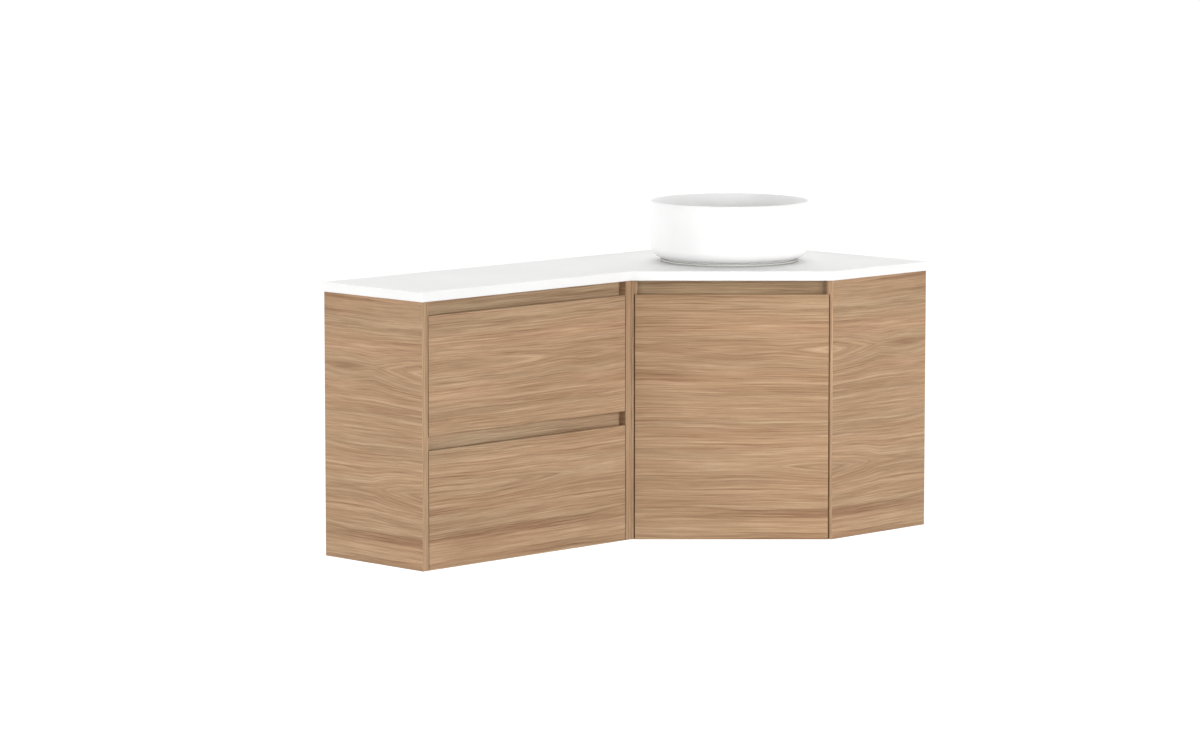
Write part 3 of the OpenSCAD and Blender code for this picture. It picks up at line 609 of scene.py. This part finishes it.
# Section of the basin, from inside its foot ring round the outside, over the rim, down the bowl and
# through the waste hole. Heights are above the benchtop
foot_ring = [(130.0, 6.0), (130.0, 0.8), (130.8, 0.0), (140.6, 0.0), (141.0, 0.4), (141.0, 1.4)]
ring_lip = [(141.4, 1.7), (147.3, 1.7), (147.8, 1.9), (148.0, 2.3), (148.0, 4.0), (147.8, 4.4),
            (147.3, 4.6)]
groove = [(139.5, 4.7), (139.0, 5.1), (139.0, 6.5), (139.4, 6.95)]
outside = arc(140, 37, 30, -89, 0, 26) + [(170.0, 60.0), (170.0, 95.0)]
rim = arc(167, 127, 3, 0, 180, 14)
bowl_wall = [(164.0, 95.0), (164.0, 66.0)]
bowl_floor = arc(130, 51, 34, 0, -90, 22) + [(100.0, 16.25), (60.0, 15.2)]
waste_hole = [(34.2, 14.56), (33.3, 14.3), (33.0, 13.6), (33.0, 10.0), (22.5, 10.0), (22.5, 0.0)]
underside = [(38.0, 0.0), (38.0, 7.0), (84.0, 7.0), (129.0, 7.0)]
basin_outline = (foot_ring + ring_lip + groove + outside + rim + bowl_wall + bowl_floor
                 + waste_hole + underside)
BARE_BELOW, BARE_BEYOND = 5.0 * MM, 128 * MM    # height and radius between which the clay shows

basin = turned("basin_glazed", basin_outline, basin_at, [glaze, fired_clay_and_painted_shade], 192)
basin.data.set_sharp_from_angle(angle=math.radians(40))
for face in basin.data.polygons:
    from_axis = (face.center - basin_at).to_2d().length
    # The foot ring's faces take the bare clay, whose darker tone is partly painted shade under the
    # basin.
    if face.center.z < top_z + BARE_BELOW and from_axis > BARE_BEYOND:
        face.material_index = 1
stands_for(basin, "basin")


# ---------------------------------------------------------------- steel fittings

def steel_part(node, width=0.25 * MM, steps=2):
    """A pressed, turned or moulded fitting in its slot's finish, with its edges broken."""
    piece = add_piece(node + "_part", copied(node), finish_of[slot_of[node]])
    ease_edges(piece, width, steps)
    return stands_for(piece, node)


LEVELS, SIDES = ("upper", "lower"), ("left", "right")
BUMPER_EASE = 0.45 * MM
for level in LEVELS:
    for side in SIDES:
        steel_part(f"{level}_{side}_outer_slide")
        steel_part(f"{level}_{side}_inner_slide")
    steel_part(level + "_drawer_brackets")
    steel_part(level + "_drawer_bumpers", BUMPER_EASE, 3)
steel_part("door_bumpers", BUMPER_EASE, 3)
steel_part("joining_bolts", 0.5 * MM)
steel_part("hinge_cups", 0.2 * MM)
steel_part("hinge_links", 0.6 * MM, 3)
steel_part("hinge_arms", 0.3 * MM)
steel_part("hinge_plates", 0.5 * MM, 3)


def grow_tree(name, inputs):
    """An empty geometry tree with these inputs; returns the tree, its inputs and a closing step."""
    tree = bpy.data.node_groups.new(name, "GeometryNodeTree")
    tree.interface.new_socket("Geometry", in_out="INPUT", socket_type="NodeSocketGeometry")
    for label, kind, value in inputs:
        socket = tree.interface.new_socket(label, in_out="INPUT", socket_type=kind)
        if value is not None:
            socket.default_value = value
    tree.interface.new_socket("Material", in_out="INPUT", socket_type="NodeSocketMaterial")
    tree.interface.new_socket("Geometry", in_out="OUTPUT", socket_type="NodeSocketGeometry")
    given = tree.nodes.new("NodeGroupInput")

    def close(geometry):
        real = put(tree, "GeometryNodeRealizeInstances", {"Geometry": geometry}).outputs[0]
        done = put(tree, "GeometryNodeSetMaterial", {"Geometry": real,
                                                     "Material": given.outputs["Material"]})
        tree.links.new(done.outputs[0], tree.nodes.new("NodeGroupOutput").inputs[0])
        return tree
    return tree, given.outputs, close


def on_points(tree, points, piece, **turn):
    """One of the pieces on each of the points."""
    inputs = {"Points": points, "Instance": piece, **turn}
    return put(tree, "GeometryNodeInstanceOnPoints", inputs).outputs[0]


def grown(name, tree, base, material, body, slot, **sizes):
    """Runs the tree on the base mesh and keeps the result, a plain mesh that rides on the body."""
    carrier = shown(name + "_carrier", base)
    modifier = carrier.modifiers.new("grow", "NODES")
    modifier.node_group = tree
    sockets = {i.name: i.identifier for i in tree.interface.items_tree
               if i.item_type == "SOCKET" and i.in_out == "INPUT"}
    for label, value in sizes.items():
        modifier[sockets[label.replace("_", " ")]] = value
    modifier[sockets["Material"]] = material
    bpy.context.view_layer.update()
    outcome = carrier.evaluated_get(bpy.context.evaluated_depsgraph_get())
    mesh = bpy.data.meshes.new_from_object(outcome)
    mesh.name = name
    bpy.data.objects.remove(carrier)
    piece = shown(name, mesh)
    mesh.shade_smooth()
    mesh.set_sharp_from_angle(angle=math.radians(SHARP_GROWN))
    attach(piece, body)
    return piece


def points_at(name, places):
    """A mesh of loose points."""
    mesh = bpy.data.meshes.new(name)
    mesh.from_pydata([tuple(at) for at in places], [], [])
    return mesh


def facing_points(places):
    """Loose points that carry the way each screw faces."""
    mesh = points_at("places", [at for at, _ in places])
    facing = mesh.attributes.new("facing", "FLOAT_VECTOR", "POINT")
    for item, (_, way) in zip(facing.data, places):
        item.vector = way
    return mesh


HEAD_WIDTH, HEAD_HEIGHT, SCREW_SEED = 7.6 * MM, 1.7 * MM, 4
HEAD_TOP, HEAD_DOME = 0.45, 0.80        # flat top against the head's width, and how far it domes
CUT_LONG, CUT_SHORT = 0.56, 0.15        # the cross recess against the head's width
BALL_SIZE, BALL_PITCH = 2.0 * MM, 5.4 * MM


def make_screw_heads():
    """Pan-head screws with a cross recess, one on each point, each turned its own way."""
    tree, given, close = grow_tree("screw_heads", [
        ("Head width", "NodeSocketFloat", HEAD_WIDTH),
        ("Head height", "NodeSocketFloat", HEAD_HEIGHT),
        ("Seed", "NodeSocketInt", SCREW_SEED)])
    width, height = given["Head width"], given["Head height"]
    radius = calc(tree, "MULTIPLY", width, 0.5)
    top = calc(tree, "MULTIPLY", radius, HEAD_TOP)
    cone = put(tree, "GeometryNodeMeshCone", {"Vertices": 28, "Side Segments": 5,
                                              "Fill Segments": 1, "Radius Top": top,
                                              "Radius Bottom": radius, "Depth": height},
               fill_type="NGON").outputs["Mesh"]

    # the cone's straight side is swelled out into a dome
    place = put(tree, "GeometryNodeInputPosition").outputs[0]
    up = calc(tree, "DIVIDE", put(tree, "ShaderNodeSeparateXYZ", {0: place}).outputs[2], height)
    straight = calc(tree, "SUBTRACT", 1.0, calc(tree, "MULTIPLY", up, 1.0 - HEAD_TOP))
    drop = calc(tree, "MULTIPLY", calc(tree, "MULTIPLY", up, up), HEAD_DOME)
    domed = calc(tree, "SQRT", calc(tree, "SUBTRACT", 1.0, drop))
    swell = calc(tree, "DIVIDE", domed, straight)
    scale = vector_of(tree, {0: swell, 1: swell, 2: 1.0})
    moved = put(tree, "ShaderNodeVectorMath", {0: place, 1: scale}, operation="MULTIPLY").outputs[0]
    head = put(tree, "GeometryNodeSetPosition", {"Geometry": cone, "Position": moved}).outputs[0]

    recess = put(tree, "GeometryNodeMeshBoolean", {"Mesh 1": head}, operation="DIFFERENCE")
    long, short = calc(tree, "MULTIPLY", width, CUT_LONG), calc(tree, "MULTIPLY", width, CUT_SHORT)
    for across, over in ((long, short), (short, long)):
        size = vector_of(tree, {0: across, 1: over, 2: height})
        cube = put(tree, "GeometryNodeMeshCube", {"Size": size}).outputs["Mesh"]
        lift = vector_of(tree, {2: height})
        cut = put(tree, "GeometryNodeTransform", {"Geometry": cube, "Translation": lift}).outputs[0]
        tree.links.new(cut, recess.inputs["Mesh 2"])

    way = put(tree, "GeometryNodeInputNamedAttribute", {"Name": "facing"},
              data_type="FLOAT_VECTOR").outputs["Attribute"]
    faced = put(tree, "FunctionNodeAlignRotationToVector", {"Vector": way}, axis="Z").outputs[0]
    spin = put(tree, "FunctionNodeRandomValue", {3: 3.14, "Seed": given["Seed"]},
               data_type="FLOAT").outputs[1]
    spin = put(tree, "FunctionNodeEulerToRotation", {0: vector_of(tree, {2: spin})}).outputs[0]
    turn = put(tree, "FunctionNodeRotateRotation", {"Rotation": faced, "Rotate By": spin},
               rotation_space="LOCAL").outputs[0]
    return close(on_points(tree, given["Geometry"], recess.outputs["Mesh"], Rotation=turn))


def make_ball_rows():
    """Rows of bearing balls: one row from each point, along Y."""
    tree, given, close = grow_tree("ball_rows", [
        ("Ball size", "NodeSocketFloat", BALL_SIZE), ("Pitch", "NodeSocketFloat", BALL_PITCH),
        ("Count", "NodeSocketInt", 28)])
    step = vector_of(tree, {1: given["Pitch"]})
    row = put(tree, "GeometryNodeMeshLine", {"Count": given["Count"], "Offset": step}).outputs[0]
    radius = calc(tree, "MULTIPLY", given["Ball size"], 0.5)
    ball = put(tree, "GeometryNodeMeshUVSphere", {"Segments": 8, "Rings": 6, "Radius": radius})
    return close(on_points(tree, given["Geometry"], on_points(tree, row, ball.outputs["Mesh"])))


screw_heads = make_screw_heads()
ball_rows = make_ball_rows()

STEEL = 1.2                                     # sheet of the slides, in millimetres
SLIDE_INSET = 0.035                             # from a slide's end to its first screw
BRACKET_STEEL, BRACKET_INSET = 1.5 * MM, 0.012  # its sheet, and from its corner to a screw
HINGE_HEIGHTS = (0.090, 0.430)                  # above the cabinet's underside
DOOR_FACE = Vector((-0.445, -0.445, 0))         # middle of the door's face
PLATE_SCREW, ARM_SCREW = Vector((-0.254, -0.576, 0)), Vector((-0.24733, -0.568, 0))
CUP_SCREW = DOOR_FACE + ALONG_DOOR * 0.1640 + INTO_DOOR * 0.0170
PLATE_UP, CUP_UP = 0.017, 0.0215                # from the hinge's middle up or down to a screw

screws = {"cabinet": [], "upper_drawer": [], "lower_drawer": [], "door": []}
for level in LEVELS:
    for side in SIDES:
        way = X if side == "left" else -X
        low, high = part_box(f"{level}_{side}_outer_slide")
        z, wall = (low.z + high.z) / 2, (low.x if side == "left" else high.x)
        rows = (low.y + SLIDE_INSET, (low.y + high.y) / 2, high.y - SLIDE_INSET)
        on_steel = way * (STEEL * MM)
        screws["cabinet"] += [(Vector((wall, y, z)) + on_steel, way) for y in rows]
        low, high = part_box(f"{level}_{side}_inner_slide")
        wall = high.x if side == "left" else low.x
        screws[level + "_drawer"] += [(Vector((wall, y, z)) - on_steel, -way) for y in rows]
    low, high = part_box(level + "_drawer_brackets")
    for x, way in ((low.x, X), (high.x, -X)):
        for z in (low.z + BRACKET_INSET, high.z - BRACKET_INSET):
            screws[level + "_drawer"] += [
                (Vector((x, low.y + BRACKET_STEEL, z)) + way * BRACKET_INSET, Y),
                (Vector((x, low.y + BRACKET_INSET, z)) + way * BRACKET_STEEL, way)]

for z in HINGE_HEIGHTS:
    screws["cabinet"] += [(PLATE_SCREW + Z * (z + up), Y) for up in (-PLATE_UP, PLATE_UP)]
    screws["cabinet"] += [(ARM_SCREW + Z * z, Y)]
    screws["door"] += [(CUP_SCREW + Z * (z + up), INTO_DOOR) for up in (-CUP_UP, CUP_UP)]

for body, places in screws.items():
    grown(body + "_screws", screw_heads, facing_points(places), zinc, body, "zinc_steel",
          Head_width=HEAD_WIDTH, Head_height=HEAD_HEIGHT, Seed=SCREW_SEED)


# The mid slide's section in millimetres: its web and lips from the carcass, its top from its middle
MID_WEB, MID_LIP, MID_TOP = 4.064, 9.144, 19.0
BALL_LINES = ((6.0, 20.0), (7.8, 16.8))         # outer and inner row, as the section
CAGE_FRONT, CAGE_BACK = 0.020, 0.030            # from the slide's ends to the cage
FIRST_BALL, CLEAR_OF_BALLS = 0.026, 0.062       # from the slide's front, and clear at both ends
ROLLED_EASE = 0.18 * MM


def mid_slide(level, side):
    """The running member: a channel, with two rows of balls in strip cages above and below it."""
    node = f"{level}_{side}_mid_slide"
    low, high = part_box(node)
    way = 1 if side == "left" else -1
    carcass = (low.x - MID_WEB * MM) if side == "left" else (high.x + MID_WEB * MM)
    z = (low.z + high.z) / 2
    upper = [(MID_WEB, MID_TOP), (MID_LIP, MID_TOP),
             (MID_LIP, MID_TOP - STEEL), (MID_WEB + STEEL, MID_TOP - STEEL)]
    channel = upper + [(x, -up) for x, up in reversed(upper)]
    bm = bmesh.new()

    def run(section, start, end):
        """A bar of this section from start to end along Y."""
        front, back = ([bm.verts.new((carcass + way * x * MM, y, z + up * MM)) for x, up in section]
                       for y in (start, end))
        for i in range(len(section)):
            j = (i + 1) % len(section)
            bm.faces.new((front[i], front[j], back[j], back[i]))
        bm.faces.new(front)
        bm.faces.new(list(reversed(back)))

    run(channel, low.y, high.y)
    starts = []
    for middle, up in BALL_LINES:
        for s in (1, -1):
            inner, outer = middle - 1.5, middle + 1.3
            a, b = s * (up - 0.25), s * (up + 0.25)
            cage = [(inner, a), (outer, a), (outer, b), (inner, b)]
            run(cage, low.y + CAGE_FRONT, high.y - CAGE_BACK)
            starts.append((carcass + way * middle * MM, low.y + FIRST_BALL, z + s * up * MM))
    bmesh.ops.recalc_face_normals(bm, faces=bm.faces)
    piece = add_piece(node + "_channel", bm, zinc)
    ease_edges(piece, ROLLED_EASE)
    stands_for(piece, node)
    count = int((high.y - low.y - CLEAR_OF_BALLS) / BALL_PITCH)
    grown(node + "_balls", ball_rows, points_at("row_starts", starts), chrome,
          nodes[node]["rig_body"], "zinc_steel", Ball_size=BALL_SIZE, Pitch=BALL_PITCH, Count=count)


for level in LEVELS:
    for side in SIDES:
        mid_slide(level, side)


# ---------------------------------------------------------------- waste

def make_thread():
    """A screw thread: a ridge that winds up round the base point."""
    tree, given, close = grow_tree("screw_thread", [
        ("Radius", "NodeSocketFloat", 20.0 * MM), ("Height", "NodeSocketFloat", 20.0 * MM),
        ("Turns", "NodeSocketFloat", 8.0), ("Ridge", "NodeSocketFloat", 1.0 * MM)])
    wind = put(tree, "GeometryNodeCurveSpiral", {"Resolution": 60, "Rotations": given["Turns"],
                                                 "Start Radius": given["Radius"],
                                                 "End Radius": given["Radius"],
                                                 "Height": given["Height"]}).outputs[0]
    wind = put(tree, "GeometryNodeSetCurveNormal", {"Curve": wind}, mode="Z_UP").outputs[0]
    ridge = put(tree, "GeometryNodeCurvePrimitiveCircle", {"Resolution": 4,
                                                           "Radius": given["Ridge"]},
                mode="RADIUS").outputs["Curve"]
    thread = put(tree, "GeometryNodeCurveToMesh", {"Curve": wind, "Profile Curve": ridge,
                                                   "Fill Caps": True}).outputs[0]
    return close(on_points(tree, given["Geometry"], thread))


# The waste's levels are in millimetres above the cabinet's underside: its lower end, the groove
# under its thread, and the underside of its flange
waste_low, waste_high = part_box("waste_body")
waste_at = Vector((basin_at.x, basin_at.y, 0))
TAIL, NECK, FLANGE = waste_low.z / MM, waste_low.z / MM + 30, waste_high.z / MM - 3
HUB = 536.0                                 # underside of the guide that the plug's stem slides in
SPOKES = (90, 210, 330)
SPOKE_LONG, SPOKE_WIDE, SPOKE_HIGH = (6.5, 17.6), (-1.5, 1.5), (0, 7)
SPOKE_SIDES = ((0, 1, 3, 2), (4, 6, 7, 5), (0, 4, 5, 1), (2, 3, 7, 6), (0, 2, 6, 4), (1, 5, 7, 3))
THREAD_START = (NECK + 3.2) * MM

tail = [(17.0, TAIL + 0.5), (17.5, TAIL), (20.45, TAIL), (20.95, TAIL + 0.5)]
neck = [(20.95, NECK - 0.4), (20.55, NECK), (19.95, NECK + 0.2), (19.95, NECK + 2)]
flange = [(20.0, FLANGE), (31.6, FLANGE), (32.0, FLANGE + 0.4), (32.0, FLANGE + 2.0),
          (31.6, FLANGE + 2.6), (30.6, FLANGE + 3.0)]
mouth = [(24.6, FLANGE + 3.0), (23.8, FLANGE + 2.8), (17.2, FLANGE + 0.1), (17.0, FLANGE - 0.4)]
waste = turned("waste_turned", tail + neck + flange + mouth, waste_at, [chrome], 96)

hub = [(4.8, HUB + 0.3), (5.1, HUB), (8.1, HUB), (8.5, HUB + 0.4), (8.5, HUB + 13.4),
       (8.0, HUB + 14.0), (5.2, HUB + 14.0), (4.8, HUB + 13.6)]
guide = turned("waste_guide", hub, waste_at, [chrome], 64)


def guide_spokes():
    """The three bars that hold the guide's hub in the waste."""
    bm = bmesh.new()
    for spoke in SPOKES:
        out = way_at(spoke)
        over = Z.cross(out)
        v = [bm.verts.new(waste_at + out * r * MM + over * w * MM + Z * (HUB + h) * MM)
             for r in SPOKE_LONG for w in SPOKE_WIDE for h in SPOKE_HIGH]
        for quad in SPOKE_SIDES:
            bm.faces.new([v[i] for i in quad])
    bmesh.ops.recalc_face_normals(bm, faces=bm.faces)
    piece = add_piece("waste_spokes", bm, chrome)
    ease_edges(piece, 0.5 * MM)
    return piece


spokes = guide_spokes()
stands_for(waste, "waste_body")
for piece in (guide, spokes):
    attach(piece, nodes["waste_body"]["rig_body"])
thread_start = points_at("thread_start", [(waste_at.x, waste_at.y, THREAD_START)])
grown("waste_thread", make_thread(), thread_start, chrome, nodes["waste_body"]["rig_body"],
      slot_of["waste_body"], Radius=19.98 * MM, Height=29.0 * MM, Turns=12.5, Ridge=0.9 * MM)

steel_part("waste_nut", 0.8 * MM, 3)
steel_part("flange_washer", 0.3 * MM)
steel_part("under_washer", 0.8 * MM, 3)

# The cap's crown is part of a ball. It stands CROWN_RISE above the edge, CROWN_EDGE from the axis
CROWN_EDGE, CROWN_RISE = 30, 3.0
cap_low, cap_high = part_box("plug_cap")
cap_z, crown_z = cap_low.z / MM, cap_high.z / MM
edge_z = crown_z - CROWN_RISE
crown_r = (CROWN_EDGE ** 2 + CROWN_RISE ** 2) / (2 * CROWN_RISE)
crown = [(r, crown_z - crown_r + math.sqrt(crown_r ** 2 - r ** 2))
         for r in (29.3, 27, 24, 20, 16, 12, 8, 4, 0)]
cap = [(0, cap_z), (29.5, cap_z), (30.0, cap_z + 0.5), (30.0, edge_z - 0.3), (29.8, edge_z)] + crown
stands_for(turned("plug_cap_turned", cap, waste_at, [chrome], 96, closed=False), "plug_cap")
stem_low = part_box("plug_stem")[0].z / MM
stem = [(0, stem_low), (3.6, stem_low), (4.5, stem_low + 1.2), (4.5, cap_z), (0, cap_z)]
stands_for(turned("plug_stem_turned", stem, waste_at, [zinc], 48, closed=False), "plug_stem")
steel_part("plug_seal", 0.3 * MM)


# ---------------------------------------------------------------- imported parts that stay

for node, part in nodes.items():
    if node not in replaced:
        part.data.materials.clear()
        part.data.materials.append(finish_of[slot_of[node]])


# ---------------------------------------------------------------- stage, light and camera

WHITE = (1, 1, 1, 1)
FLOOR_REACH, FLOOR_Z = 40.0, -0.62
FLOOR_COLOUR, FLOOR_GLOW = (0.30, 0.30, 0.30, 1), 0.90
SKY_BACK, SKY_EDGE = 4.5, 0.17
BOX_AIM, BOX_AWAY, BOX_SIZE = Vector((-0.5, -0.35, 0.35)), 10.0, 4.4
BOX_UP = 5.5                                    # above the level of what it aims at, in degrees
CAMERA_AT = (-8.0256, -7.6332, 1.6340)          # the camera is fitted to the photo's edges
CAMERA_DOWN, CAMERA_HEADING = 7.004, -45        # in degrees


def white_to_the_eye(tree):
    """1 for rays that look at the background straight, or in metal or glass."""
    path = put(tree, "ShaderNodeLightPath")
    direct = calc(tree, "MAXIMUM", path.outputs["Is Camera Ray"], path.outputs["Is Glossy Ray"])
    return calc(tree, "MAXIMUM", direct, path.outputs["Is Transmission Ray"])


def make_floor():
    """Pale floor below the wall-hung unit. It keeps the shadow. The camera sees it white from
    above, and through it from below."""
    bm = bmesh.new()
    corners = ((-1, -1), (1, -1), (1, 1), (-1, 1))
    bm.faces.new([bm.verts.new((x * FLOOR_REACH, y * FLOOR_REACH, FLOOR_Z)) for x, y in corners])
    material = bpy.data.materials.new("pale_floor")
    material.use_nodes = True
    tree = material.node_tree
    tree.nodes.clear()
    matt = put(tree, "ShaderNodeBsdfDiffuse", {"Color": FLOOR_COLOUR})
    seen = calc(tree, "MULTIPLY", white_to_the_eye(tree), FLOOR_GLOW)
    glow = put(tree, "ShaderNodeEmission", {"Color": WHITE, "Strength": seen})
    both = put(tree, "ShaderNodeAddShader", {0: matt.outputs[0], 1: glow.outputs[0]})
    under = calc(tree, "MULTIPLY", put(tree, "ShaderNodeNewGeometry").outputs["Backfacing"],
                 put(tree, "ShaderNodeLightPath").outputs["Is Camera Ray"])
    clear = put(tree, "ShaderNodeBsdfTransparent")
    mixed = put(tree, "ShaderNodeMixShader", {0: under, 1: both.outputs[0], 2: clear.outputs[0]})
    put(tree, "ShaderNodeOutputMaterial", {"Surface": mixed.outputs[0]})
    floor = add_piece("studio_floor", bm, material)


def make_sky():
    """Soft white surround: faint all round and strongest high above the walls' side, so that the
    basin shades the front."""
    world = bpy.data.worlds.new("studio")
    bpy.context.scene.world = world
    world.use_nodes = True
    tree = world.node_tree
    tree.nodes.clear()
    heading = put(tree, "ShaderNodeTexCoord").outputs["Generated"]
    above = calc(tree, "MAXIMUM", put(tree, "ShaderNodeSeparateXYZ", {0: heading}).outputs[2], 0.0)
    behind = put(tree, "ShaderNodeVectorMath", {0: heading, 1: tuple(INTO_DOOR)},
                 operation="DOT_PRODUCT").outputs["Value"]
    from_behind = calc(tree, "MULTIPLY", calc(tree, "MAXIMUM", behind, 0.0), above)
    glow = calc(tree, "MULTIPLY_ADD", from_behind, SKY_BACK, SKY_EDGE)
    strength = put(tree, "ShaderNodeMix", {0: white_to_the_eye(tree), 2: glow, 3: 1.0},
                   data_type="FLOAT").outputs[0]
    sky = put(tree, "ShaderNodeBackground", {"Color": WHITE, "Strength": strength})
    put(tree, "ShaderNodeOutputWorld", {"Surface": sky.outputs[0]})


def add_softbox(name, heading, watts):
    """A square softbox, heading degrees round from the photographed front, unseen in gloss."""
    up = math.radians(BOX_UP)
    at = BOX_AIM + BOX_AWAY * (way_at(225 + heading) * math.cos(up) + Z * math.sin(up))
    lamp = bpy.data.lights.new(name, "AREA")
    lamp.shape = "SQUARE"
    lamp.size, lamp.energy = BOX_SIZE, watts
    holder = shown(name, lamp)
    holder.location = at
    holder.visible_glossy = False
    holder.rotation_euler = (BOX_AIM - at).to_track_quat("-Z", "Y").to_euler()


make_floor()
make_sky()
add_softbox("left_softbox", -49, 738)
add_softbox("right_softbox", 50, 832)

camera = shown("camera", bpy.data.cameras.new("camera"))
camera.data.lens = 150
camera.data.sensor_width = 36
camera.location = CAMERA_AT
camera.rotation_euler = (math.radians(90 - CAMERA_DOWN), 0, math.radians(CAMERA_HEADING))
bpy.context.scene.camera = camera
bpy.context.scene.view_settings.view_transform = "Standard"

bpy.context.view_layer.update()
